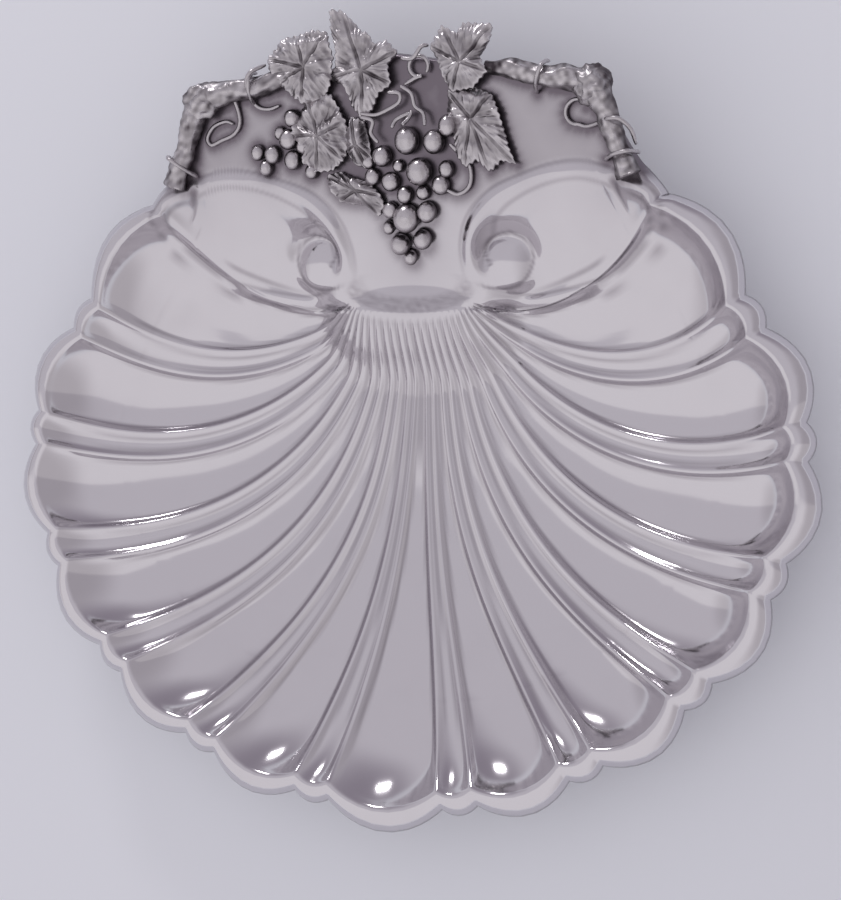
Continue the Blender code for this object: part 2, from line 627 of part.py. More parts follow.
def sole_block():
    """Block under the sole; its top is a grid, so that the cut sole can bend over the bowl's rolls."""
    bm = bmesh.new()
    bmesh.ops.create_grid(bm, x_segments=SOLE_GRID[0], y_segments=SOLE_GRID[1], size=1.0)
    bmesh.ops.scale(bm, vec=(SOLE_HALF_WIDTH, SOLE_HALF_DEPTH, 1.0), verts=bm.verts)
    bmesh.ops.translate(bm, vec=(0.0, SOLE_MIDDLE_Y, SEAT_GAP), verts=bm.verts)
    lower = bmesh.ops.extrude_face_region(bm, geom=bm.faces[:])["geom"]
    bmesh.ops.translate(bm, vec=(0, 0, -2 * CASTING_SOLE - SEAT_GAP),
                        verts=[g for g in lower if isinstance(g, bmesh.types.BMVert)])
    bmesh.ops.recalc_face_normals(bm, faces=bm.faces)
    return bm


def plate():
    """Thin ground of the casting, which joins grapes, leaves and stems."""
    bm = bmesh.new()
    face = bm.faces.new([bm.verts.new((x, y, PLATE_HEIGHT)) for x, y in PLATE_OUTLINE])
    lower = bmesh.ops.extrude_face_region(bm, geom=[face])["geom"]
    bmesh.ops.translate(bm, vec=(0, 0, -CASTING_SOLE - PLATE_HEIGHT),
                        verts=[g for g in lower if isinstance(g, bmesh.types.BMVert)])
    bmesh.ops.recalc_face_normals(bm, faces=bm.faces)
    return bm


def wrap(x, y, direction):
    """Tendril wound once round a branch that runs in the given direction."""
    turn = np.linspace(0, 2 * math.pi, 11)[:-1]
    c, s = math.cos(math.radians(direction)), math.sin(math.radians(direction))
    plan = np.array([x, y]) + np.array([-s, c]) * (WRAP_RADIUS * np.cos(turn))[:, None]
    line = at_height(plan, BRANCH_HEIGHT + WRAP_RADIUS * np.sin(turn))
    return tube(line, TENDRIL_RADIUS, 5, True, (c, s, 0.0))


def ring(x, y, radius):
    """Closed loop of tendril lying flat."""
    turn = np.linspace(0, 2 * math.pi, 13)[:-1]
    plan = np.stack([x + radius * np.cos(turn), y + radius * np.sin(turn)], -1)
    return tube(at_height(plan, TENDRIL_HEIGHT), TENDRIL_RADIUS, 5, True)


def casting_parts():
    """Forms that the casting is joined from, in plan places and heights over the ledge."""
    leaves = (LEFT_LEAF, TALL_LEAF, RIGHT_LEAF, SMALL_LEAF)
    parts = [leaf(*shape, CASTING_SOLE * depth) for shape, depth in zip(leaves, LEAF_SOLE_SHARES)]
    parts += [ball(x, y, r * GRAPE_SEAT, r) for x, y, r in BUNCH + SIDE_BUNCH]
    for side in (1.0, -1.0):
        line = smooth_line(np.array(BRANCH_LINE) * [side, 1.0], 16)
        knobs = 1.0 + BRANCH_KNOB * np.cos(np.arange(16) * BRANCH_KNOB_TURN + side)
        parts.append(tube(at_height(line, BRANCH_HEIGHT), BRANCH_RADIUS * knobs, 8))
        parts.append(ball(KNOT[0] * side, KNOT[1], BRANCH_HEIGHT, KNOT_RADIUS, KNOT_FLATNESS))
    parts += [wrap(*w) for w in WRAPS]
    parts += [ring(*LOOP, LOOP_RADIUS), ring(*CURL, CURL_RADIUS)]
    for line in (RIGHT_TENDRIL, LEFT_TENDRIL, BUNCH_TENDRIL, STEM):
        parts.append(tube(at_height(smooth_line(line, 11), TENDRIL_HEIGHT), TENDRIL_RADIUS, 5))
    return parts


def scratch_object(name, mesh):
    """Object that only serves to shape another."""
    item = bpy.data.objects.new(name, mesh)
    item.hide_render = True
    item.display_type = "WIRE"
    bpy.context.scene.collection.objects.link(item)
    return item


def joined_mesh(name, parts):
    """One mesh that holds several closed forms."""
    mesh = bpy.data.meshes.new(name)
    whole = bmesh.new()
    for form in parts:
        form.to_mesh(mesh)
        form.free()
        whole.from_mesh(mesh)
    whole.to_mesh(mesh)
    whole.free()
    return mesh


def laid_on(mesh, carrier):
    """Lift the mesh's points by the greatest height of the sheet close under them, or of its plane."""
    bm = bmesh.new()
    bm.from_mesh(carrier)
    sheet = BVHTree.FromBMesh(bm)
    bm.free()
    places = np.empty(len(mesh.vertices) * 3, np.float32)
    mesh.vertices.foreach_get("co", places)
    places = places.reshape(-1, 3)
    heights = surface(places[:, 0], places[:, 1]) + RIM_HEIGHT
    for i, (x, y, _) in enumerate(places):
        for dx, dy in ((0, 0), (1, 0), (-1, 0), (0, 1), (0, -1)):
            hit = sheet.ray_cast((x + dx * SEAT_SPAN, y + dy * SEAT_SPAN, 1.0), (0.0, 0.0, -1.0))[0]
            if hit is not None and hit.z > heights[i]:
                heights[i] = hit.z
    places[:, 2] += heights
    mesh.vertices.foreach_set("co", places.ravel())


def is_sound(item):
    """Whether the finished mesh is closed everywhere and nowhere crosses itself."""
    bpy.context.view_layer.update()
    mesh = bpy.data.meshes.new_from_object(item.evaluated_get(bpy.context.evaluated_depsgraph_get()))
    bm = bmesh.new()
    bm.from_mesh(mesh)
    bpy.data.meshes.remove(mesh)
    bmesh.ops.triangulate(bm, faces=bm.faces)
    bm.faces.ensure_lookup_table()
    corners = [set(vert.index for vert in face.verts) for face in bm.faces]
    faces = BVHTree.FromBMesh(bm)
    crossing = any(not corners[a] & corners[b] for a, b in faces.overlap(faces))
    closed = all(edge.is_manifold for edge in bm.edges) and all(vert.is_manifold for vert in bm.verts)
    bm.free()
    return closed and not crossing


def fused_mesh(carrier, grain):
    """Mesh of the vine: its forms fused in flat space, cut level at the sole and laid over the sheet."""
    forms = scratch_object("vine_forms", joined_mesh("vine_forms", [plate(), *casting_parts()]))
    below = scratch_object("vine_sole", joined_mesh("vine_sole", [sole_block()]))
    fuse = forms.modifiers.new("fuse", "REMESH")
    fuse.mode = "VOXEL"
    fuse.voxel_size = grain
    level = forms.modifiers.new("level", "BOOLEAN")
    level.operation = "DIFFERENCE"
    level.object = below
    bpy.context.view_layer.update()
    mesh = bpy.data.meshes.new_from_object(forms.evaluated_get(bpy.context.evaluated_depsgraph_get()))
    for item in (forms, below):
        bpy.data.objects.remove(item)
    laid_on(mesh, carrier)
    mesh.materials.clear()
    mesh.shade_smooth()
    return mesh


def vine_casting(carrier):
    """Cast vine, thinned to its facets; while it isn't sound, it is fused again with a finer grain."""
    item = add_object("grapevine_casting", bpy.data.meshes.new("grapevine_casting"),
                      finish_material("oxidised_silver", OLD_SILVER, 0.35))
    thin = item.modifiers.new("thin", "DECIMATE")
    for number in range(FUSE_TRIES):
        mesh = fused_mesh(carrier, FUSE_GRAIN * (1.0 - FUSE_STEP * number))
        mesh.materials.append(item.data.materials[0])
        item.data = mesh
        thin.ratio = CASTING_FACETS / sum(len(face.vertices) - 2 for face in mesh.polygons)
        if is_sound(item):
            break
    return item


def centred(items):
    """Move the finished objects together, until the middle of their box is over the origin."""
    bpy.context.view_layer.update()
    graph = bpy.context.evaluated_depsgraph_get()
    corners = np.array([corner for item in items for corner in item.evaluated_get(graph).bound_box])
    middle = (corners.min(axis=0) + corners.max(axis=0)) / 2.0
    for item in items:
        item.location = (-middle[0], -middle[1], 0.0)


def main():
    for item in list(bpy.data.objects):
        bpy.data.objects.remove(item)
    bowl = shell_bowl()
    centred([bowl, vine_casting(bowl.data)])


main()
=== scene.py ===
# %% [markdown]
# # A shell-shaped bowl with a cast grapevine
# The bowl is one sheet of silver-plated metal, stamped as a scallop shell: flutes fan out from a hinge,
# two volutes roll up beside it, and a flat ledge runs behind them. A cast grapevine is soldered on the
# ledge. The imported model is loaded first. It fixes where everything is, and each piece below takes its
# place from it.

import math

import bpy
import numpy as np
from mathutils import Matrix, Vector


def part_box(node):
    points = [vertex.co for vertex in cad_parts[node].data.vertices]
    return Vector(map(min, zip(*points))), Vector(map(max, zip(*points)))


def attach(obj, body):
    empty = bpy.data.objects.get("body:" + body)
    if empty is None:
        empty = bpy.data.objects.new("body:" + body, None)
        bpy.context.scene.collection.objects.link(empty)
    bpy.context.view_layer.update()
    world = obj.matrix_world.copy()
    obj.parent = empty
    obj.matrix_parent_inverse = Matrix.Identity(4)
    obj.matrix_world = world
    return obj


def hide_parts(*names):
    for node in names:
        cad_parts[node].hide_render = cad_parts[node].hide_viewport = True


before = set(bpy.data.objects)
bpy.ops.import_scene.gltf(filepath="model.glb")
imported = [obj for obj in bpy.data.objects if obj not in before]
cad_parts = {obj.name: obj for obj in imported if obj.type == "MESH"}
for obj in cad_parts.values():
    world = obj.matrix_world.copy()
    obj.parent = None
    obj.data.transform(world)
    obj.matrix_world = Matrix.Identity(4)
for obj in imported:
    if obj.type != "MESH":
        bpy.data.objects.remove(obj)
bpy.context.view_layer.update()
BOWL_LOW, BOWL_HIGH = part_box("shell_bowl")
VINE_LOW, VINE_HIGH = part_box("grapevine_casting")
print("bowl", tuple(BOWL_LOW), tuple(BOWL_HIGH))
print("vine", tuple(VINE_LOW), tuple(VINE_HIGH))

# %% [markdown]
# ## Sizes
# These are the bowl's own measures, in metres, about an axis through the middle of its width. The rim's
# crest is the level that heights are counted from. `FRONT_REACH` is how far the middle lobe comes
# forward of that axis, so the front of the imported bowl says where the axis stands.

# %% Measures of the shell
RIM_HEIGHT = 0.0402
SHEET = 0.0014
FRONT_REACH = 0.16114
AXIS_Y = BOWL_LOW.y + FRONT_REACH

HALF_WIDTH, WIDEST_Y = 0.165, -0.002
FRONT_Y = -0.1525
SHOULDER = np.array([0.110, 0.094])
LARGE_LOBES = 13
FLUTES = 2 * LARGE_LOBES - 1
LOBE_SHARES = (39.3, 15.0)
END_LOBE_SHARE = 49.0
LOBE_SWELL = 0.19
DISH_DEPTH, DISH_FULLNESS, DISH_CENTRE_Y = 0.0380, 2.9, 0.024
RIB_DEPTHS, HOLLOW_DEPTHS = (0.0021, 0.0014), (0.0032, 0.0015)
DEEPEST = -0.0388
LIP_RUN, LIP_DROP = 0.0080, 0.0057
LEDGE_LIP_RUN, LEDGE_LIP_DROP = 0.0024, 0.0034
HINGE = np.array([0.0, 0.0543])
HINGE_HALF_WIDTH, HINGE_FRONT, HINGE_BACK, HINGE_LEAD = 0.0264, 0.0050, 0.0060, 0.0030
HINGE_DROP, HINGE_SPREAD = 0.0200, 0.032
BACK_EDGE_Y, BACK_EDGE_BOW = 0.104, 0.010
BACK_DROP, SHOULDER_RISE, LEDGE_SLOPE = 0.004, 0.004, 0.20
LEDGE_SIDE, LEDGE_CORNER, LEDGE_BACK = (0.0955, 0.103), (0.083, 0.136), (0.0, 0.150)
print("axis at y =", round(AXIS_Y, 5))

# %% [markdown]
# ## Curves in plan
# Every line on the shell is a smooth plan curve: a cubic curve from its four control points, or a curve
# through a few chosen points, read at even shares of its length. A smooth step and a round hump then
# shape the heights along those lines, without a crease that polished metal would show.

# %% Plan curves


def cubic(p0, p1, p2, p3, t):
    """Bezier curve: p0 (1-t)^3 + 3 p1 (1-t)^2 t + 3 p2 (1-t) t^2 + p3 t^3, for whole arrays."""
    t = np.asarray(t)[..., None]
    s = 1.0 - t
    return p0 * s**3 + 3 * p1 * s**2 * t + 3 * p2 * s * t**2 + p3 * t**3


def by_length(points, shares):
    """A polyline read at shares 0 to 1 of its length."""
    points = np.asarray(points, float)
    run = np.concatenate([[0.0], np.cumsum(np.linalg.norm(np.diff(points, axis=0), axis=1))])
    return np.stack([np.interp(np.asarray(shares) * run[-1], run, c) for c in points.T], -1)


def through(points, count, per_span=40):
    """Catmull-Rom curve: a cubic on each span, its slopes at a point being half the neighbours' chord."""
    p = np.asarray(points, float)
    p = np.concatenate([[2 * p[0] - p[1]], p, [2 * p[-1] - p[-2]]])
    a, b, c, d = (p[i:len(p) - 3 + i, None] for i in range(4))
    t = np.linspace(0, 1, per_span)[None, :-1, None]
    span = 0.5 * (2 * b + (c - a) * t + (2 * a - 5 * b + 4 * c - d) * t**2 + (3 * b - a - 3 * c + d) * t**3)
    return by_length(np.concatenate([span.reshape(-1, p.shape[1]), p[-2:-1]]), np.linspace(0, 1, count))


def smooth(edge0, edge1, value):
    """Smooth step: 3 t^2 - 2 t^3, where t runs from 0 at edge0 to 1 at edge1."""
    t = np.clip((value - edge0) / (edge1 - edge0), 0.0, 1.0)
    return t * t * (3.0 - 2.0 * t)


def hump(distance, width):
    """Round hump: (1 - (distance / width)^2)^2 inside the width, 0 outside."""
    return (1.0 - np.clip(np.abs(distance) / width, 0.0, 1.0)**2)**2


def outward(points):
    """Unit normals on the left of a plan line."""
    along = np.gradient(points, axis=0)
    along /= np.linalg.norm(along, axis=1)[:, None]
    return np.stack([-along[:, 1], along[:, 0]], -1)


def mirrored(points):
    """The same plan points on the other side, run backwards."""
    return points[::-1] * [-1.0, 1.0]


# %% [markdown]
# ## The rim and the bowl's edge
# The rim's notches lie on two cubic curves a side, mirrored. The crest of the rim runs inside them, and
# behind the hinge the bowl ends on a bowed line instead. Read as a distance for each direction from the
# deepest point, that edge gives every place on the bowl its share of the way out, and the depth follows
# from that share alone.

# %% Rim and edge
SHOULDER_PULL, SIDE_PULLS, FRONT_PULL = (0.034, -0.040), (0.020, 0.088), 0.085
BACK_EDGE_REACH, EDGE_STEP, EDGE_BELL, EDGE_BELL_REACH = 0.102, 0.25, 7.0, 24


def rim_guide():
    """Two cubic curves, shoulder to widest point and on to the front, then their mirror image."""
    t = np.linspace(0.0, 1.0, 600)
    side, front = np.array([HALF_WIDTH, WIDEST_Y]), np.array([0.0, FRONT_Y])
    upper = cubic(SHOULDER, SHOULDER + SHOULDER_PULL, side + [0.0, SIDE_PULLS[0]], side, t)
    lower = cubic(side, side - [0.0, SIDE_PULLS[1]], front + [FRONT_PULL, 0.0], front, t)
    right = np.concatenate([upper, lower[1:]])
    return by_length(np.concatenate([right, mirrored(right)[1:]]), np.linspace(0.0, 1.0, 2001))


GUIDE = rim_guide()
GUIDE_SHARES = np.linspace(0.0, 1.0, len(GUIDE))
GUIDE_NORMALS = outward(GUIDE)
GUIDE_LENGTH = np.linalg.norm(np.diff(GUIDE, axis=0), axis=1).sum()


def on_guide(share):
    """Points and normals of the rim guide at shares of its length."""
    lines = (GUIDE, GUIDE_NORMALS)
    return [np.stack([np.interp(share, GUIDE_SHARES, c) for c in line.T], -1) for line in lines]


def back_edge(x):
    """The bowl's back edge: a level line with a bow that grows with the square of x."""
    return BACK_EDGE_Y - BACK_EDGE_BOW * (x / SHOULDER[0])**2


def edge_reach():
    """Distance of the edge in each direction from the deepest point, with its corners rounded off."""
    x = np.linspace(-BACK_EDGE_REACH, BACK_EDGE_REACH, 300)
    line = np.concatenate([GUIDE - GUIDE_NORMALS * LIP_RUN, np.stack([x, back_edge(x)], -1)])
    line = line - [0.0, DISH_CENTRE_Y]
    angle = np.arctan2(line[:, 1], line[:, 0])
    order = np.argsort(angle)
    angles = np.radians(np.arange(-180.0, 180.0, EDGE_STEP))
    reach = np.interp(angles, angle[order], np.hypot(line[:, 0], line[:, 1])[order], period=2 * math.pi)
    bell = np.exp(-0.5 * (np.arange(-EDGE_BELL_REACH, EDGE_BELL_REACH + 1) / EDGE_BELL)**2)
    ring = np.concatenate([reach[-EDGE_BELL_REACH:], reach, reach[:EDGE_BELL_REACH]])
    return angles, np.convolve(ring, bell / bell.sum(), "valid")


EDGE_ANGLES, EDGE_REACH = edge_reach()
print("rim length", round(GUIDE_LENGTH, 3))
print("edge from", EDGE_REACH.min().round(4), "to", EDGE_REACH.max().round(4))

# %% [markdown]
# ## The volutes
# Each scroll is a raised roll that winds down round an eye and runs along the back edge to the
# shoulder. The field inside it is domed, and a ridge, a shallow valley and a notch cross it. On the
# real bowl they are pressed with the sheet, so here they are added to the height of the surface: each
# is a line in plan, and a round hump grows with nearness to that line.

# %% Lines of the right volute; the left one is its mirror image
BORDER_LINE = (
    (0.0275, 0.0480), (0.0272, 0.0560), (0.0262, 0.0625), (0.0242, 0.0690), (0.0246, 0.0760),
    (0.0288, 0.0860), (0.0355, 0.0935), (0.0440, 0.0985), (0.0590, 0.1040), (0.0742, 0.1056),
    (0.0860, 0.1034), (0.0960, 0.0992), (0.1030, 0.0975), (0.1200, 0.0950))
BLEND_SHARES = (0.0, 0.1, 0.25, 0.4, 0.6, 0.8, 1.0)
BLEND_WIDTHS = (0.012, 0.030, 0.031, 0.020, 0.011, 0.008, 0.006)
TONGUE_FALL = (
    (0.0400, -0.0205), (0.0520, -0.0205), (0.0575, -0.0214), (0.0625, -0.0217), (0.0700, -0.0190),
    (0.0800, -0.0128), (0.0920, -0.0070), (0.1040, -0.0040))
BAND_LINE = (
    (0.0330, 0.0600), (0.0292, 0.0640), (0.0282, 0.0705), (0.0290, 0.0775), (0.0325, 0.0860),
    (0.0390, 0.0930), (0.0470, 0.0975), (0.0607, 0.1022), (0.0742, 0.1036), (0.0852, 0.1012),
    (0.0930, 0.0976))
BAND_SHARES = (0.0, 0.1, 0.25, 0.40, 0.55, 1.0)
BAND_WIDTHS = (0.0040, 0.0050, 0.0054, 0.0046, 0.0036, 0.0032)
BAND_RISES = (0.0005, 0.0018, 0.0024, 0.0020, 0.0012, 0.0010)
RIB_LINE = (
    (0.0300, 0.0578), (0.0400, 0.0560), (0.0520, 0.0554), (0.0660, 0.0573), (0.0815, 0.0610),
    (0.0920, 0.0660), (0.0995, 0.0728), (0.1040, 0.0800), (0.1052, 0.0865), (0.1030, 0.0920),
    (0.0985, 0.0954), (0.0925, 0.0978))
VALLEY_LINE = ((0.0420, 0.0575), (0.0546, 0.0603), (0.0653, 0.0636), (0.0764, 0.0680), (0.0840, 0.0725))
SPIRAL_LINE = (
    (0.0273, 0.0631), (0.0301, 0.0613), (0.0341, 0.0600), (0.0407, 0.0600), (0.0465, 0.0623),
    (0.0503, 0.0673), (0.0514, 0.0740), (0.0489, 0.0794), (0.0443, 0.0819), (0.0400, 0.0820),
    (0.0355, 0.0804), (0.0330, 0.0771), (0.0328, 0.0726), (0.0358, 0.0684))
EYE = np.array([0.0417, 0.0722])
EYE_HEIGHT, EYE_FALL = -0.0190, 0.26
EYE_RADIUS, EYE_DOME, EYE_BLEND = 0.0098, 0.0021, (0.95, 1.5)
SPIRAL_WIDTH, SPIRAL_DEPTH = 0.0012, 0.0007
RIB_WIDTH, RIB_HEIGHT = 0.0030, 0.0014
VALLEY_WIDTH, VALLEY_DEPTH = 0.0030, 0.0010
NOTCH_LINE = ((0.0885, 0.0985), (0.0905, 0.0935), (0.0935, 0.0865))
NOTCH_WIDTH, NOTCH_DEPTH = 0.0026, 0.0011
FIELD_MIDDLE, FIELD_REACH, FIELD_LIFT = (0.0620, 0.0770), 0.042, 0.0065
BORDER, BAND, SPIRAL = through(BORDER_LINE, 220), through(BAND_LINE, 200), through(SPIRAL_LINE, 160)
RIB, VALLEY, NOTCH = through(RIB_LINE, 200), through(VALLEY_LINE, 80), through(NOTCH_LINE, 60)
FALL = through(TONGUE_FALL, 200)
for name, line in (("border", BORDER), ("band", BAND), ("spiral", SPIRAL), ("rib", RIB)):
    print("volute", name, "length", np.linalg.norm(np.diff(line, axis=0), axis=1).sum().round(4))

# %% [markdown]
# ## Height of the plain form
# A formula gives the height of the upper face at any place in plan. The bowl comes first, then the land
# behind the hinge, blended in across the volute's border. The rolls, grooves and the eye are added
# last, each by its nearness.

# %% Height of the upper face
TONGUE_HOLLOW, TONGUE_HALF_WIDTH = 0.0030, 0.026
RISE_FROM, RISE_TO = 0.050, 0.090
BEHIND_FROM, BEHIND_TO = 0.046, 0.056
HINGE_FLAT_SHARE, HINGE_SPREAD_BACK = 0.7, 0.018


def nearest(x, y, line, step=20000):
    """Distance to the nearest point of a plan line, that point's share of it, and the side: 1 on the left."""
    flat = np.stack([x.ravel(), y.ravel()], -1)
    away, index = np.empty(len(flat)), np.empty(len(flat), int)
    for start in range(0, len(flat), step):
        part = flat[start:start + step]
        gap = np.hypot(part[:, None, 0] - line[None, :, 0], part[:, None, 1] - line[None, :, 1])
        index[start:start + step] = gap.argmin(1)
        away[start:start + step] = gap.min(1)
    along = np.gradient(line[:, :2], axis=0)[index]
    offset = flat - line[index, :2]
    side = np.sign(along[:, 0] * offset[:, 1] - along[:, 1] * offset[:, 0])
    return [a.reshape(x.shape) for a in (away, index / (len(line) - 1), side)]


def ends_faded(share, head, tail):
    """1 along a line, falling to 0 over the first and last stretch of it."""
    return smooth(0.0, head, share) * (1.0 - smooth(1.0 - tail, 1.0, share))


def field(x, y):
    """Plain bowl: depth - D (1 - r^n), r being the share of the way out, with the rim's rise at the back."""
    dy = y - DISH_CENTRE_Y
    out = np.clip(np.hypot(x, dy) / np.interp(np.arctan2(dy, x), EDGE_ANGLES, EDGE_REACH), 0, 1)
    rise = (SHOULDER_RISE + BACK_DROP) * np.clip(x / SHOULDER[0], 0, 1)**2 - BACK_DROP
    return -DISH_DEPTH * (1.0 - out**DISH_FULLNESS) + rise * smooth(RISE_FROM, RISE_TO, y) * out**4


def backland(x, y):
    """Tongue and ledge: a fall from the ledge to the hinge, hollowed across, and a gentle rise behind."""
    bow = np.clip(x / SHOULDER[0], 0, 1)**2
    back = y + BACK_EDGE_BOW * bow
    z = np.interp(back, FALL[:, 0], FALL[:, 1]) + (SHOULDER_RISE + BACK_DROP) * bow
    hollow = TONGUE_HOLLOW * np.clip(x / TONGUE_HALF_WIDTH, 0, 1.2)**2
    z = z + hollow * (1 - smooth(0.070, 0.095, y)) * smooth(0.054, 0.066, y)
    return z + LEDGE_SLOPE * np.clip(back - BACK_EDGE_Y, 0, None)


def plain_form(x, y):
    """Bowl, volute's field, hinge and the land behind, each blended into the next, for x of 0 or more."""
    away, share, side = nearest(x, y, BORDER)
    inward = hump(away, np.interp(share, BLEND_SHARES, BLEND_WIDTHS))
    behind = np.where(side > 0, 1.0, inward) * smooth(BEHIND_FROM, BEHIND_TO, y)
    z = field(x, y) + FIELD_LIFT * hump(np.hypot(x - FIELD_MIDDLE[0], y - FIELD_MIDDLE[1]), FIELD_REACH)
    ahead = y - HINGE[1] + HINGE_LEAD
    beside = np.clip(x - HINGE_HALF_WIDTH * HINGE_FLAT_SHARE, 0, None)
    spread = np.where(ahead < 0, HINGE_SPREAD, HINGE_SPREAD_BACK)
    z = z + (-HINGE_DROP - z) * hump(np.hypot(beside, ahead), spread)
    return z + (backland(x, y) - z) * behind


def height(x, y):
    """Height about the rim of the upper face without its flutes: plain form, then the volute's lines."""
    x = np.abs(x)
    z = plain_form(x, y)
    away, share, _ = nearest(x, y, BAND)
    width, rise = (np.interp(share, BAND_SHARES, values) for values in (BAND_WIDTHS, BAND_RISES))
    z = z + rise * hump(away, width) * smooth(0.0, 0.12, share)
    dx, dy = x - EYE[0], y - EYE[1]
    eye = np.hypot(dx, dy) / EYE_RADIUS
    button = EYE_HEIGHT - EYE_FALL * dx - EYE_DOME * np.minimum(eye, 1.0)**2
    z = z + (button - z) * (1 - smooth(*EYE_BLEND, eye))
    away, share, _ = nearest(x, y, SPIRAL)
    z = z - SPIRAL_DEPTH * hump(away, SPIRAL_WIDTH) * ends_faded(share, 0.10, 0.05)
    away, share, _ = nearest(x, y, RIB)
    z = z + RIB_HEIGHT * hump(away, RIB_WIDTH) * ends_faded(share, 0.12, 0.04)
    away, share, _ = nearest(x, y, VALLEY)
    z = z - VALLEY_DEPTH * hump(away, VALLEY_WIDTH) * ends_faded(share, 0.5, 0.25)
    away, share, _ = nearest(x, y, NOTCH)
    return z - NOTCH_DEPTH * hump(away, NOTCH_WIDTH * (1.05 - share))


print("height at the deepest point", float(height(np.array([0.0]), np.array([DISH_CENTRE_Y]))[0]))

# %% [markdown]
# ## The flutes
# A flute is a trough between two lines that run from the hinge to the rim, with a narrow round rib on
# each line. Its depth has two parts: a hollow 1 - v^2, v being -1 and 1 on its two lines, and a floor
# that rises only at the ribs. Each part grows with the width w up to its limit d, as d tanh(k w / d).
# The two end flutes are deepest near the volutes, so their hollow is multiplied by 1 - k v. Near the
# rim each flute ends in a scooped wall. The grid's columns follow the lines and stand closest at the
# ribs, so that these stay crisp with few faces.

# %% Flutes
LARGE_STEPS = (0.0, 0.030, 0.060, 0.095, 0.14, 0.20, 0.30, 0.43, 0.57, 0.70, 0.80, 0.86, 0.905, 0.94, 0.97)
SMALL_STEPS = (0.0, 0.07, 0.15, 0.26, 0.42, 0.58, 0.74, 0.85, 0.93)
BACK_COLUMNS = 150
ROW_SPANS = ((0.0, 0.035, 7), (0.035, 0.84, 56), (0.84, 1.0, 31))
ROWS = np.unique(np.concatenate([np.linspace(*span) for span in ROW_SPANS]))
LIP_ROWS = np.linspace(0.0, 1.0, 11)[1:]
START_ANGLE, START_TURN, START_POWER, START_PULL, START_PULL_LOSS = -89.0, 71.0, 3.1, 0.42, 0.09
END_TURN, END_PULL = 19.0, 0.41
FLUTE_RIB, FLUTE_RIB_SHARE, END_SKEW = 0.0026, 0.42, 1.2
FLOOR_RATE, HOLLOW_RATE = 0.13, 0.085
SMALL_WALL_FROM, LARGE_WALL_FROM, SCOOP_POWER = 0.94, 0.905, 2.2
WALL_FROM, WALL_DROP, LIP_POWER = 0.925, 0.0016, 2.6


def hinge_oval(angle):
    """Oval round the hinge: flatter behind than in front."""
    x, y = np.cos(angle), np.sin(angle)
    return HINGE + np.stack([HINGE_HALF_WIDTH * x, y * np.where(y < 0, HINGE_FRONT, HINGE_BACK)], -1)


def fan_line(number, share, t):
    """Cubic lines from the hinge to the rim's crest, straight in the middle and swept out at the sides."""
    side = np.where(number <= FLUTES / 2, 1.0, -1.0)
    off = np.abs(1.0 - 2.0 * number / FLUTES)
    point, normal = on_guide(share)
    end = point - normal * LIP_RUN
    start = hinge_oval(-math.pi * number / FLUTES)
    chord = np.linalg.norm(end - start, axis=1)[:, None]
    a1 = np.radians(START_ANGLE + START_TURN * off**START_POWER)
    rim = np.arctan2(end[:, 1], np.abs(end[:, 0]))
    a2 = rim + math.pi + math.radians(END_TURN) * np.cos(rim)
    pull = (START_PULL - START_PULL_LOSS * off)[:, None]
    first = start + np.stack([side * np.cos(a1), np.sin(a1)], -1) * chord * pull
    last = end + np.stack([side * np.cos(a2), np.sin(a2)], -1) * chord * END_PULL
    return cubic(start[:, None], first[:, None], last[:, None], end[:, None], t[None, :])


def flute_starts():
    """Share of the rim at which each flute starts."""
    shares = np.where(np.arange(FLUTES) % 2 == 0, *LOBE_SHARES)
    shares[[0, FLUTES // 2, FLUTES - 1]] = END_LOBE_SHARE
    return np.concatenate([[0.0], np.cumsum(shares)]) / shares.sum()


def troughs(flute, across, width):
    """How far each column and row lies below the plain form, and a mask of the lines at the ribs' feet."""
    ridge_gap = np.minimum(across, 1.0 - across)[:, None] * width
    v = (2.0 * across - 1.0)[:, None]
    small = (flute % 2 == 1)[:, None]
    floor, hollow = (np.where(small, *pair[::-1]) for pair in (RIB_DEPTHS, HOLLOW_DEPTHS))
    rib = np.minimum(FLUTE_RIB, FLUTE_RIB_SHARE * width)
    skew = 1.0 - END_SKEW * v * ((flute == 0).astype(float) - (flute == FLUTES - 1))[:, None]
    floor = floor * np.tanh(FLOOR_RATE * width / floor) * (1.0 - hump(ridge_gap, rib))
    hollow = hollow * np.tanh(HOLLOW_RATE * width / hollow) * (1.0 - v**2) * skew
    depth = (floor + hollow) * smooth(0.0, 0.012, ROWS)
    feet = hump(ridge_gap - rib * 0.95, rib * 0.4)
    feet = feet * smooth(0.004, 0.02, ROWS) * (1 - smooth(0.86, 0.93, ROWS))
    wall_from = np.where(small, SMALL_WALL_FROM, LARGE_WALL_FROM)
    scoop = np.clip((ROWS - wall_from) / (1.0 - wall_from), 0.0, 1.0)
    return depth * (1.0 - scoop**SCOOP_POWER), feet


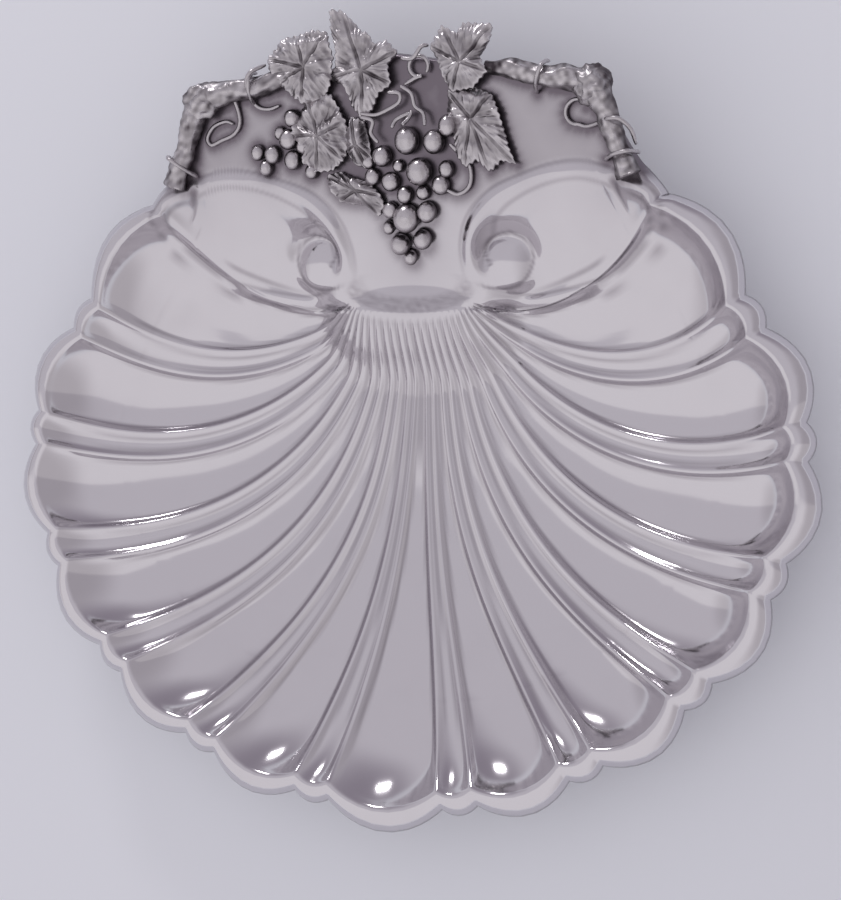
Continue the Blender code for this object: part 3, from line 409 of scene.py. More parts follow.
def fan_grid():
    """Upper face of flutes and lip, by columns, clockwise from the right shoulder, and the ribs' feet."""
    starts = flute_starts()
    steps = [SMALL_STEPS if f % 2 else LARGE_STEPS for f in range(FLUTES)]
    flute = np.append(np.repeat(np.arange(FLUTES), [len(s) for s in steps]), FLUTES - 1)
    across = np.append(np.concatenate(steps), 1.0)
    share = starts[flute] + across * np.diff(starts)[flute]
    plan = fan_line(flute + across, share, ROWS)
    bounds = fan_line(np.arange(FLUTES + 1.0), starts, ROWS)
    width = np.linalg.norm(np.diff(bounds, axis=0), axis=-1)[flute]
    depth, feet = troughs(flute, across, width)
    wall = np.clip((ROWS - WALL_FROM) / (1 - WALL_FROM), 0, 1)
    lowered = WALL_DROP * smooth(0.5, WALL_FROM, ROWS) * (1 - wall**2)
    z = np.maximum(height(plan[..., 0], plan[..., 1]) - depth - lowered, DEEPEST)
    half = 2.0 * math.atan(2.0 * LOBE_SWELL)
    swell = (np.cos(half * (2 * across - 1)) - math.cos(half)) / (2 * math.sin(half))
    swell = swell * np.diff(starts)[flute] * GUIDE_LENGTH
    point, normal = on_guide(share)
    plan = plan + (0.8 * swell[:, None] * smooth(0.78, 1.0, ROWS))[..., None] * normal[:, None]
    inner, edge = plan[:, -1], point + normal * swell[:, None]
    lip = inner[:, None] + (edge - inner)[:, None] * LIP_ROWS[None, :, None]
    lip_z = z[:, -1:] - LIP_DROP * LIP_ROWS**LIP_POWER
    grid = np.concatenate([np.concatenate([plan, lip], 1), np.concatenate([z, lip_z], 1)[..., None]], -1)
    return grid, feet


FAN, RIB_FEET = fan_grid()
print("fan grid", FAN.shape, "columns, rows and coordinates")

# %% [markdown]
# ## Tongue, volutes and ledge
# Behind the hinge the columns fan out backwards, to the side and back edges of the ledge. The right
# half is made and mirrored. Together the two fans close into a ring round the hinge, and a few more
# rows fill the oval inside.

# %% Back grid and the whole upper face
OUTLINE_POINTS, OUTLINE_SOFTENING = 800, 15
BACK_PULLS, BACK_TURNS, LEDGE_LIP_SHARE = (0.34, 0.40), (-43.0, 36.0), 0.25
INNER_SHARES = np.linspace(0.04, 0.92, 12)
SOFT_PASSES = 3


def turned(vectors, angle):
    """Plan vectors turned anticlockwise by an angle each."""
    x, y = vectors[:, 0], vectors[:, 1]
    return np.stack([x * np.cos(angle) - y * np.sin(angle), x * np.sin(angle) + y * np.cos(angle)], -1)


def back_grid(shoulder):
    """Upper face behind the hinge, from the right shoulder's column to the left one's."""
    q = np.arange(1, BACK_COLUMNS + 1) / BACK_COLUMNS
    outline = np.array([shoulder[len(ROWS) - 1, :2], LEDGE_SIDE, LEDGE_CORNER, LEDGE_BACK])
    shares = np.linspace(0, 1, OUTLINE_POINTS)
    fine = by_length(outline, shares)
    window = np.ones(2 * OUTLINE_SOFTENING + 1) / (2 * OUTLINE_SOFTENING + 1)
    soft = [np.convolve(np.pad(c, OUTLINE_SOFTENING, "edge"), window, "valid") for c in fine.T]
    fine[1:-1] = np.stack(soft, -1)[1:-1]
    end = by_length(fine, q)
    normal = np.stack([np.interp(q, shares, c) for c in -outward(fine).T], -1)
    normal[-1] = (0.0, 1.0)
    start = hinge_oval(math.pi / 2 * q)
    first = start + BACK_PULLS[0] * turned(end - start, np.radians(BACK_TURNS[0]) * (1 - q)**2)
    last = end - BACK_PULLS[1] * turned(end - start, np.radians(BACK_TURNS[1]) * (1 - q)**2)
    plan = cubic(start[:, None], first[:, None], last[:, None], end[:, None], ROWS[None, :])
    z = height(plan[..., 0], plan[..., 1])
    blend = smooth(0.0, LEDGE_LIP_SHARE, q)[:, None]
    run = LIP_RUN + (LEDGE_LIP_RUN - LIP_RUN) * blend
    drop = LIP_DROP + (LEDGE_LIP_DROP - LIP_DROP) * blend
    lip = end[:, None] + normal[:, None] * (run * LIP_ROWS)[..., None]
    lip_z = z[:, -1:] - drop * LIP_ROWS**LIP_POWER
    right = np.concatenate([np.concatenate([plan, lip], 1), np.concatenate([z, lip_z], 1)[..., None]], -1)
    return np.concatenate([right, right[-2::-1] * [-1.0, 1.0, 1.0]])


def upper_face():
    """Ring of columns round the hinge, with rows added inside its oval and the heights softened a little."""
    ring = np.concatenate([FAN, back_grid(FAN[0])[:-1][::-1]])
    inside = HINGE + (ring[:, :1, :2] - HINGE) * INNER_SHARES[None, :, None]
    inner = np.concatenate([inside, height(inside[..., 0], inside[..., 1])[..., None]], -1)
    grid = np.concatenate([inner, ring], 1)
    z = grid[..., 2].copy()
    for passes in range(SOFT_PASSES):
        soft = (np.roll(z, 1, 0) + 2 * z + np.roll(z, -1, 0)) / 4
        soft[:, 1:-1] = (soft[:, :-2] + 2 * soft[:, 1:-1] + soft[:, 2:]) / 4
        share = np.where(np.arange(len(z)) < len(FAN), 0.0 if passes else 0.5, 1.0)
        z = z + (soft - z) * share[:, None]
    grid[..., 2] = z
    return grid


UPPER = upper_face()
print("upper face", UPPER.shape, "height", UPPER[..., 2].min().round(4), UPPER[..., 2].max().round(4))

# %% [markdown]
# ## From grids to a closed sheet
# The underside is the upper face moved along its normals by the sheet's thickness, on every third row.
# The two faces meet at the lip's edge, and each closes with a single point at the hinge.

# %% The bowl's mesh
UNDER_STEP, FOOT_LIFT = 3, 0.00005


def grid_faces(columns, rows, first, closed):
    """Quads of a grid of vertex numbers that runs column after column from the number first."""
    i = np.arange(columns if closed else columns - 1)[:, None]
    j = np.arange(rows - 1)[None, :]
    after = (i + 1) % columns
    quad = (i * rows + j, after * rows + j, after * rows + j + 1, i * rows + j + 1)
    return first + np.stack(quad, -1).reshape(-1, 4)


def new_piece(name, verts, faces, material=None):
    """Object of a mesh whose faces are lists of vertex arrays, shaded smooth, standing at the origin."""
    mesh = bpy.data.meshes.new(name)
    face_lists = [face for group in faces for face in np.asarray(group).tolist()]
    mesh.from_pydata(np.asarray(verts).tolist(), [], face_lists)
    mesh.validate()
    mesh.shade_smooth()
    item = bpy.data.objects.new(name, mesh)
    bpy.context.scene.collection.objects.link(item)
    if material is not None:
        mesh.materials.append(material)
    return item


def normals_of(grid):
    """Unit normals of a grid: the cross product of its slopes along the columns and the rows."""
    along = np.gradient(grid, axis=1)
    across = np.roll(grid, -1, 0) - np.roll(grid, 1, 0)
    n = np.cross(along, across)
    n /= np.linalg.norm(n, axis=-1, keepdims=True)
    return n * np.sign(n[..., 2:] + 1e-9)


def shell_mesh():
    """Both faces of the sheet as one closed mesh, in the frame's coordinates."""
    top = UPPER + [0.0, AXIS_Y, RIM_HEIGHT]
    rows = np.unique(np.append(np.arange(0, top.shape[1], UNDER_STEP), top.shape[1] - 1))
    soft = top.copy()
    for _ in range(SOFT_PASSES):
        soft[:, 1:-1, 2] = (soft[:, :-2, 2] + 2 * soft[:, 1:-1, 2] + soft[:, 2:, 2]) / 4
        soft[..., 2] = (np.roll(soft[..., 2], 1, 0) + 2 * soft[..., 2] + np.roll(soft[..., 2], -1, 0)) / 4
    under = (top - SHEET * normals_of(soft))[:, rows]
    under[..., 2] = np.maximum(under[..., 2], FOOT_LIFT)
    n, m, k = top.shape[0], top.shape[1], len(rows)
    poles = np.stack([top[:, 0].mean(0), under[:, 0].mean(0)])
    verts = np.concatenate([top.reshape(-1, 3), under.reshape(-1, 3), poles])
    i, after = np.arange(n), (np.arange(n) + 1) % n
    base, pole = n * m, n * m + n * k
    rim = np.stack([i * m + m - 1, after * m + m - 1, base + after * k + k - 1, base + i * k + k - 1], -1)
    caps = [np.stack([np.full(n, pole), after * m, i * m], -1),
            np.stack([np.full(n, pole + 1), base + i * k, base + after * k], -1)]
    return verts, [grid_faces(n, m, 0, True), grid_faces(n, k, base, True)[:, ::-1], rim, *caps]


BOWL_VERTS, BOWL_FACES = shell_mesh()
bowl = new_piece("fluted_shell", BOWL_VERTS, BOWL_FACES)
volume = sum(p.center.dot(p.normal) * p.area for p in bowl.data.polygons) / 3
print("shell triangles", sum(len(p.vertices) - 2 for p in bowl.data.polygons))
print("shell volume in cm3", round(volume * 1e6, 2))

# %% [markdown]
# ## Shader maths as expressions
# A small class stands for a socket. Its operators add Math nodes, so that a mask reads as a formula,
# and one method adds any other node from its type, its settings and the values or links of its sockets.

# %% Sockets as values


class Value:
    """A number in a material: adding, multiplying and so on makes Math nodes."""

    def __init__(self, finish, socket):
        self.finish, self.socket = finish, socket

    def math(self, operation, a, b=None):
        return self.finish.node("ShaderNodeMath", {"operation": operation}, {0: a, 1: b})

    def __add__(self, other):
        return self.math("ADD", self, other)

    def __sub__(self, other):
        return self.math("SUBTRACT", self, other)

    def __mul__(self, other):
        return self.math("MULTIPLY", self, other)

    def __rsub__(self, other):
        return self.math("SUBTRACT", other, self)

    __radd__, __rmul__ = __add__, __mul__

    def between(self, low, high):
        """Smooth step from 0 at low to 1 at high."""
        return self.finish.node("ShaderNodeMapRange", {"interpolation_type": "SMOOTHSTEP"},
                                {"Value": self, "From Min": low, "From Max": high})


class Finish:
    """A node tree that is written as expressions."""

    def __init__(self, tree):
        self.tree = tree

    def node(self, kind, settings=None, sockets=None, output=0):
        """Adds a node, sets it, fills its sockets with numbers or links, and returns one of its outputs."""
        node = self.tree.nodes.new(kind)
        for name, value in (settings or {}).items():
            setattr(node, name, value)
        for name, value in (sockets or {}).items():
            if isinstance(value, Value):
                self.tree.links.new(value.socket, node.inputs[name])
            elif value is not None:
                node.inputs[name].default_value = value
        return Value(self, node.outputs[output])

    def noise(self, place, scale, detail):
        """Soft random pattern from about 0 to 1, with its scale in patches for each metre."""
        return self.node("ShaderNodeTexNoise", None, {"Vector": place, "Scale": scale, "Detail": detail})

    def mix(self, factor, a, b):
        """Colour between a and b."""
        node = self.tree.nodes.new("ShaderNodeMix")
        node.data_type = "RGBA"
        for index, value in ((0, factor), (6, a), (7, b)):
            if isinstance(value, Value):
                self.tree.links.new(value.socket, node.inputs[index])
            else:
                node.inputs[index].default_value = value if index == 0 else (*value, 1.0)
        return Value(self, node.outputs[2])


# %% [markdown]
# ## Silver plate
# Polished silver shows what is round it more than a colour of its own, so its base colour is nearly
# even: a little darker and warmer where tarnish stays in hollows. Shade is painted into it as well: in
# the creases, on the ledge, round and under the casting, and on the lower sides of grapes and branches.
# A mesh attribute holds how much of both. The bump is the slight unevenness of stamped sheet, a few
# centimetres wide, and fine polishing scratches.

# %% Finishes
# The dull colours serve both tarnish and painted shade.
SILVER, TARNISH_AND_SHADE = (0.640, 0.615, 0.645), (0.185, 0.160, 0.185)
CAST, CAST_TARNISH_AND_SHADE = (0.56, 0.53, 0.55), (0.085, 0.070, 0.080)


def metal(name, bright, dull, gloss, dull_gloss, build):
    """Principled metal between a bright and a dull state; build gives dull share, bump and roughening."""
    material = bpy.data.materials.new(name)
    material.use_nodes = True
    finish = Finish(material.node_tree)
    shader = material.node_tree.nodes["Principled BSDF"]
    place = finish.node("ShaderNodeTexCoord", output=3)
    dull_share, bump_height, bump_depth, roughening = build(finish, place)
    material.node_tree.links.new(finish.mix(dull_share, bright, dull).socket, shader.inputs["Base Color"])
    rough = gloss + (dull_gloss - gloss) * dull_share + roughening
    material.node_tree.links.new(rough.socket, shader.inputs["Roughness"])
    bump_sockets = {"Height": bump_height, "Distance": bump_depth, "Strength": 1.0}
    bump = finish.node("ShaderNodeBump", None, bump_sockets)
    material.node_tree.links.new(bump.socket, shader.inputs["Normal"])
    shader.inputs["Metallic"].default_value = 1.0
    return material


def plate(finish, place):
    """Stamped plate: broad dents, faint clouding, and tarnish with painted shade from the mesh."""
    tarnish_and_shade = finish.node("ShaderNodeAttribute", {"attribute_name": "tarnish_and_shade"}, output=2)
    dents = finish.noise(place, 38.0, 1.0)
    cloud = finish.noise(place, 60.0, 5.0)
    grain = finish.noise(place, 900.0, 2.0)
    share = tarnish_and_shade + (cloud - 0.5) * 0.10
    return share, dents + grain * 0.004, 0.00025, (cloud - 0.5) * 0.05


def casting(finish, place):
    """Cast silver: tarnish with painted shade from the mesh, broken up by fine grain."""
    tarnish_and_shade = finish.node("ShaderNodeAttribute", {"attribute_name": "tarnish_and_shade"}, output=2)
    cloud = finish.noise(place, 350.0, 4.0)
    grain = finish.noise(place, 900.0, 3.0)
    return tarnish_and_shade + (cloud - 0.5) * 0.30, grain, 0.00012, (cloud - 0.5) * 0.10


SHELL_METAL = metal("polished_silver_plate", SILVER, TARNISH_AND_SHADE, 0.11, 0.30, plate)
VINE_METAL = metal("oxidised_and_shaded_cast_silver", CAST, CAST_TARNISH_AND_SHADE, 0.25, 0.45, casting)
for material in (SHELL_METAL, VINE_METAL):
    print("finish", material.name, len(material.node_tree.nodes), "nodes")

# %% [markdown]
# ## The vine's forms
# Branches, tendrils and knots are tubes and balls: a ring of points carried along a line, or round a
# centre, with its radius changed by a formula for bark. Each stands on the sheet, at the height of the
# sheet under it.

# %% Tubes and balls
VINE = []
BARK_SIZE, BARK_FINE_SIZE, BARK_GROOVES = 0.012, 0.0045, 5


def laid(points):
    """Points whose third number is their height over the sheet, moved up by the sheet's height under them."""
    points = np.array(points, float)
    points[..., 2] += height(points[..., 0], points[..., 1])
    return points


def ripples(points, size, seed, waves=9):
    """Soft unevenness between about -1 and 1: a sum of sines, their random ways drawn from a fixed seed."""
    rng = np.random.default_rng(seed)
    ways = rng.normal(size=(waves, points.shape[-1]))
    ways *= rng.uniform(0.6, 1.5, waves)[:, None] * 2 * math.pi / size / np.linalg.norm(ways, axis=1)[:, None]
    return np.sin(points @ ways.T + rng.uniform(0, 2 * math.pi, waves)).sum(-1) / math.sqrt(2.0 * waves)


def closed_rings(rings):
    """Vertices and faces of a tube of rings, closed by a point at each end; rings run along, then round."""
    n, m = rings.shape[:2]
    verts = np.concatenate([rings.reshape(-1, 3), rings[[0, -1]].mean(1)])
    k, after = np.arange(m), (np.arange(m) + 1) % m
    i, j = np.arange(n - 1)[:, None] * m, k[None, :]
    body = np.stack([i + j, i + after[None, :], i + m + after[None, :], i + m + j], -1).reshape(-1, 4)
    last = (n - 1) * m
    return verts, [body, np.stack([after, k, np.full(m, n * m)], -1),
                   np.stack([last + k, last + after, np.full(m, n * m + 1)], -1)]


def tube_rings(line, radius, sides, bark=0.0, seed=0):
    """Rings p + r (cos a * across + sin a * top) along a line, r being uneven by the bark's share."""
    along = np.gradient(line, axis=0)
    along /= np.linalg.norm(along, axis=1)[:, None]
    across = np.cross(along, [0.0, 0.0, 1.0])
    across = across + 1e-6 * np.array([1.0, 0.3, 0.0])
    across /= np.linalg.norm(across, axis=1)[:, None]
    top = np.cross(across, along)
    a = 2 * math.pi * np.arange(sides) / sides
    ring = across[:, None] * np.cos(a)[None, :, None] + top[:, None] * np.sin(a)[None, :, None]
    radius = np.broadcast_to(radius, len(line))[:, None, None]
    rings = line[:, None] + ring * radius
    if bark:
        rough = ripples(rings, BARK_SIZE, seed) + 0.6 * ripples(rings, BARK_FINE_SIZE, seed + 1)
        sway = 2.2 * np.sin(np.arange(len(line))[:, None] * 0.09 + seed)
        groove = np.cos(BARK_GROOVES * a[None, :] + sway)
        rings = line[:, None] + ring * radius * (1 + bark * (rough + 0.5 * groove))[..., None]
    return rings


def ball_rings(centre, radius, turns=12, sides=22, stretch=(1.0, 1.0, 1.0)):
    """Rings of a ball: radius times (sin t cos a, sin t sin a, cos t), without its two poles."""
    t = np.linspace(0, math.pi, turns + 2)[1:-1, None]
    a = 2 * math.pi * np.arange(sides)[None, :] / sides
    shape = np.stack([np.sin(t) * np.cos(a), np.sin(t) * np.sin(a), np.cos(t) + 0 * a], -1)
    return np.asarray(centre) + radius * shape[::-1] * stretch


def joined(forms):
    """Several closed forms as one set of vertices and faces."""
    verts, faces, count = [], [], 0
    for form_verts, form_faces in forms:
        verts.append(form_verts)
        faces += [f + count for f in form_faces]
        count += len(form_verts)
    return np.concatenate(verts), faces


def vine_piece(name, forms, dull):
    """Piece of the casting in the frame's coordinates; dull gives each vertex its tarnish and painted shade.
    """
    verts, faces = joined(forms)
    piece = new_piece(name, verts + [0.0, AXIS_Y, RIM_HEIGHT], faces, VINE_METAL)
    mark(piece, dull(verts) if callable(dull) else dull)
    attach(piece, "root")
    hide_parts("grapevine_casting")
    VINE.append(verts)
    print(name, len(verts), "points")
    return piece


def mark(piece, tarnish_and_shade):
    """Store how dark each vertex is, its tarnish and painted shade together."""
    layer = piece.data.attributes.new("tarnish_and_shade", "FLOAT", "POINT")
    values = np.clip(np.broadcast_to(tarnish_and_shade, len(piece.data.vertices)), 0.0, 1.0)
    layer.data.foreach_set("value", values.astype(np.float32))


# %% [markdown]
# ## Branches, knots and tendrils
# Two cut branches meet the leaves in the middle and bend down at the ledge's corners, each over a
# knotty joint. Tendrils are thin round wires that curl on the ledge and wind once round a branch.

# %% Branches and tendrils
BRANCH_RADIUS, BRANCH_LIFT = 0.0044, 0.0038
BRANCH_LINE = (
    (0.0958, 0.1000), (0.0905, 0.1140), (0.0860, 0.1270), (0.0815, 0.1345), (0.0730, 0.1372),
    (0.0610, 0.1390), (0.0500, 0.1420), (0.0380, 0.1440))
KNOT, KNOT_RADIUS = (0.0818, 0.1340), 0.0074
BRANCH_POINTS, BRANCH_SIDES, BARK = 150, 28, 0.11
INNER_END, INNER_END_FALL, INNER_END_TAPER = 0.82, 0.0024, 0.35
CUT_STEPS, CUT_RADII = (0.9, 0.75, 0.0), (0.55, 0.90, 1.0)
TIP_STEPS, TIP_RADII = (0.1, 0.5, 0.9), (1.0, 0.9, 0.4)
TENDRIL_RADIUS, TENDRIL_SIDES, TENDRIL_TAPER_POINTS = 0.00085, 12, 8.0
OVER_STEPS = ((-1.0, 0.0004), (-0.85, 0.0042), (-0.45, 0.0081), (0.0, 0.0091), (0.45, 0.0083), (0.85, 0.0048),
              (1.0, 0.0006))


def branch(side, seed):
    """Branch on one side: a barked tube that thickens towards its knot, with a bevelled cut end."""
    line = through(np.array(BRANCH_LINE) * [side, 1.0], BRANCH_POINTS)
    near = np.hypot(line[:, 0] - side * KNOT[0], line[:, 1] - KNOT[1])
    share = np.linspace(0, 1, BRANCH_POINTS)
    inner = smooth(INNER_END, 1.0, share)
    uneven = 0.05 * np.sin(np.arange(BRANCH_POINTS) * 0.21 + seed)
    radius = BRANCH_RADIUS * (0.93 + 0.22 * hump(near, 0.022) + uneven)
    radius = radius * (1.0 + 0.16 * hump(share, 0.10) - INNER_END_TAPER * inner)
    line = laid(np.column_stack([line, BRANCH_LIFT - INNER_END_FALL * inner]))
    head = np.concatenate([np.full((3, 3), line[0]), line, np.full((3, 3), line[-1])])
    head[:3] += (line[0] - line[1]) * np.array(CUT_STEPS)[:, None]
    head[-3:] += (line[-1] - line[-2]) * np.array(TIP_STEPS)[:, None]
    radius = np.concatenate([radius[0] * np.array(CUT_RADII), radius, radius[-1] * np.array(TIP_RADII)])
    return tube_rings(head, radius, BRANCH_SIDES, BARK, seed)


def knot(side, seed):
    """Knotty joint: a ball swollen by lumps, with a few pits."""
    centre = laid([side * KNOT[0], KNOT[1], BRANCH_LIFT + 0.0003])
    rings = ball_rings(centre, KNOT_RADIUS, 30, 44, (1.0, 1.05, 0.78))
    way = (rings - centre) / KNOT_RADIUS
    lumps = 0.13 * ripples(way, 0.9, seed) + 0.07 * ripples(way, 0.45, seed + 5)
    pits = 0.16 * np.clip(ripples(way, 0.6, seed + 9) - 0.75, 0, 1)
    return centre + (rings - centre) * (1.0 + lumps - pits)[..., None]


def tendril(points, radius=TENDRIL_RADIUS, count=90):
    """Wire through points whose third number is their height over the sheet, tapered at both ends."""
    line = through(points, count)
    base = through(laid(np.array(points)), count)
    line[:, 2] = base[:, 2]
    from_end = np.minimum(np.arange(count), count - 1 - np.arange(count))
    taper = 0.55 + 0.45 * np.sqrt(np.clip(from_end / TENDRIL_TAPER_POINTS, 0, 1))
    return tube_rings(line, radius * taper, TENDRIL_SIDES)


def loop(x, y, radius, start, sweep, lift=0.0016, count=14):
    """Points round part of a circle, from one angle in degrees over a sweep."""
    a = np.radians(start + sweep * np.linspace(0, 1, count))
    return [(x + radius * math.cos(t), y + radius * math.sin(t), lift) for t in a]


def over(x, y, direction, reach=0.0062, lean=0.0015):
    """Points of a wire that passes over a branch which runs in a direction, given in degrees."""
    c, s = math.cos(math.radians(direction)), math.sin(math.radians(direction))
    return [(x - s * reach * k + c * lean * k, y + c * reach * k + s * lean * k, h) for k, h in OVER_STEPS]


TENDRILS = (
    [*loop(0.0750, 0.1250, 0.0047, 60, 215), (0.0790, 0.1193, 0.0016), (0.0845, 0.1200, 0.0040),
     (0.0890, 0.1203, 0.0086), (0.0935, 0.1198, 0.0088), (0.0972, 0.1165, 0.0052),
     (0.0986, 0.1115, 0.0018)],
    over(0.0930, 0.1075, 112.0, 0.0066), over(0.0612, 0.1390, 170.0), over(-0.0600, 0.1392, 8.0),
    over(-0.0925, 0.1085, 68.0, 0.0066),
    [(-0.0540, 0.1480, 0.0040), (-0.0590, 0.1440, 0.0086), (-0.0612, 0.1395, 0.0080),
     (-0.0612, 0.1350, 0.0030), (-0.0590, 0.1320, 0.0016), (-0.0545, 0.1312, 0.0014),
     (-0.0500, 0.1325, 0.0016)],
    [(-0.0690, 0.1400, 0.0086), (-0.0680, 0.1330, 0.0022), (-0.0672, 0.1260, 0.0015),
     (-0.0700, 0.1215, 0.0015), (-0.0755, 0.1190, 0.0015), (-0.0800, 0.1172, 0.0015),
     (-0.0815, 0.1200, 0.0015), (-0.0785, 0.1245, 0.0015), (-0.0735, 0.1265, 0.0015),
     (-0.0700, 0.1255, 0.0015)],
    [(0.0225, 0.1150, 0.0040), (0.0262, 0.1112, 0.0024), (0.0302, 0.1060, 0.0018),
     (0.0297, 0.0990, 0.0018), (0.0248, 0.0958, 0.0018), (0.0200, 0.0975, 0.0030)],
    [*loop(0.0102, 0.1455, 0.0040, -40, 330, 0.0026), (0.0085, 0.1410, 0.0026),
     (0.0040, 0.1385, 0.0030)],
    [(0.0040, 0.1480, 0.0060), (0.0090, 0.1478, 0.0066), (0.0125, 0.1520, 0.0060),
     (0.0150, 0.1530, 0.0040)],
    [(0.0025, 0.1380, 0.0040), (0.0070, 0.1350, 0.0040), (0.0085, 0.1300, 0.0040),
     (0.0120, 0.1270, 0.0046), (0.0130, 0.1220, 0.0060)],
    [(-0.0025, 0.1355, 0.0050), (0.0022, 0.1350, 0.0046), (0.0018, 0.1315, 0.0046),
     (-0.0035, 0.1285, 0.0050), (-0.0085, 0.1270, 0.0050), (-0.0140, 0.1275, 0.0062)],
    [(-0.0140, 0.1262, 0.0062), (-0.0092, 0.1245, 0.0056), (-0.0100, 0.1200, 0.0056),
     (-0.0070, 0.1160, 0.0060)],
    [(0.0070, 0.1275, 0.0044), (0.0010, 0.1250, 0.0050), (-0.0010, 0.1215, 0.0064)],
    [(0.0072, 0.1282, 0.0044), (0.0060, 0.1250, 0.0056), (0.0040, 0.1222, 0.0080)])

# %% [markdown]
# ## Grapes
# Each grape is a ball set a little into the sheet. Their places and sizes are the design of the bunch.

# %% Grapes
BUNCH = (
    (0.0044, 0.1169, 0.0053), (0.0157, 0.1161, 0.0047), (-0.0065, 0.1113, 0.0042),
    (0.0092, 0.1047, 0.0053), (-0.0034, 0.1013, 0.0038), (-0.0111, 0.1034, 0.0033),
    (0.0178, 0.0994, 0.0037), (0.0203, 0.1056, 0.0033), (0.0023, 0.0960, 0.0034),
    (0.0025, 0.0868, 0.0054), (0.0113, 0.0891, 0.0042), (0.0080, 0.0788, 0.0039),
    (-0.0018, 0.0771, 0.0042), (-0.0060, 0.0837, 0.0028), (0.0014, 0.0722, 0.0030),
    (-0.0044, 0.0903, 0.0033), (0.0215, 0.1222, 0.0040), (0.0000, 0.1075, 0.0026),
    (-0.0128, 0.1095, 0.0028), (0.0100, 0.0968, 0.0030), (-0.0600, 0.1139, 0.0031),
    (-0.0535, 0.1130, 0.0036), (-0.0566, 0.1078, 0.0031), (-0.0450, 0.1106, 0.0037),
    (-0.0372, 0.1060, 0.0030), (-0.0445, 0.1272, 0.0035), (-0.0500, 0.1215, 0.0028),
    (-0.0465, 0.1188, 0.0038), (-0.0405, 0.1160, 0.0030))
GRAPE_SEAT = 0.70


def grapes():
    """Balls on the sheet, each stretched its own way, and darker from a little above the middle down: patina
    at the sheet, with painted shade on the lower half.
    """
    rng = np.random.default_rng(11)
    forms, dull = [], []
    for x, y, r in BUNCH:
        centre = laid([x, y, r * GRAPE_SEAT])
        rings = ball_rings(centre, r, 18, 30, np.array([0.97, 1.08, 1.0]) + rng.uniform(-0.05, 0.05, 3))
        forms.append(closed_rings(rings))
        level = (forms[-1][0][:, 2] - centre[2]) / r
        # Darker below: patina in the crevice at the sheet, and painted shade on the grape's lower half.
        dull.append(1.0 - smooth(0.10, 0.55, level) + 0.12 * ripples(forms[-1][0], r, 3))
    return forms, np.concatenate(dull)


# %% [markdown]
# ## Leaves
# The foundry's pattern for each leaf was cut by eye. This one is an outline round the leaf's middle,
# with saw teeth cut into it. A vein runs to each lobe's tip. Height comes from the distance to the
# nearest vein: a groove on it, side veins at a slant, swelling between them, and soft lumps over all.
# The face closes to a flat back.

# %% Leaves
LEAF_RAYS, LEAF_RINGS = 420, 40
LEAF_EDGE, LEAF_CENTRE = 0.0026, 0.0052
TOOTH, TOOTH_CUT, LEAF_SPREAD = 0.0028, 0.055, 1.07
VEIN_WIDTH, VEIN_DEPTH = 0.0010, 0.0006
SIDE_VEIN_WIDTH, SIDE_VEIN_DEPTH, SIDE_VEINS, SIDE_VEIN_SLOPE = 0.0012, 0.0003, 4.2, 1.15
LEAF_SWELL, LEAF_LEAST, LEAF_BACK = 0.0013, 0.0012, 0.0010


def sawn_edge(middle, outline, theta):
    """Reach of the leaf in each direction: its outline, with teeth of one length cut into it."""
    ring = by_length(np.concatenate([outline, outline[:1]]), np.linspace(0, 1, 900))
    ring = LEAF_SPREAD * (ring - middle)
    way = np.arctan2(ring[:, 1], ring[:, 0])
    order = np.argsort(way)
    reach = np.interp(theta, way[order], np.hypot(*ring.T)[order], period=2 * math.pi)
    run = np.cumsum(np.hypot(reach, np.gradient(reach, theta))) * theta[1]
    teeth = run / run[-1] * round(run[-1] / TOOTH)
    return reach * (1.0 - TOOTH_CUT * np.abs(teeth % 1.0 * 2.0 - 1.0))


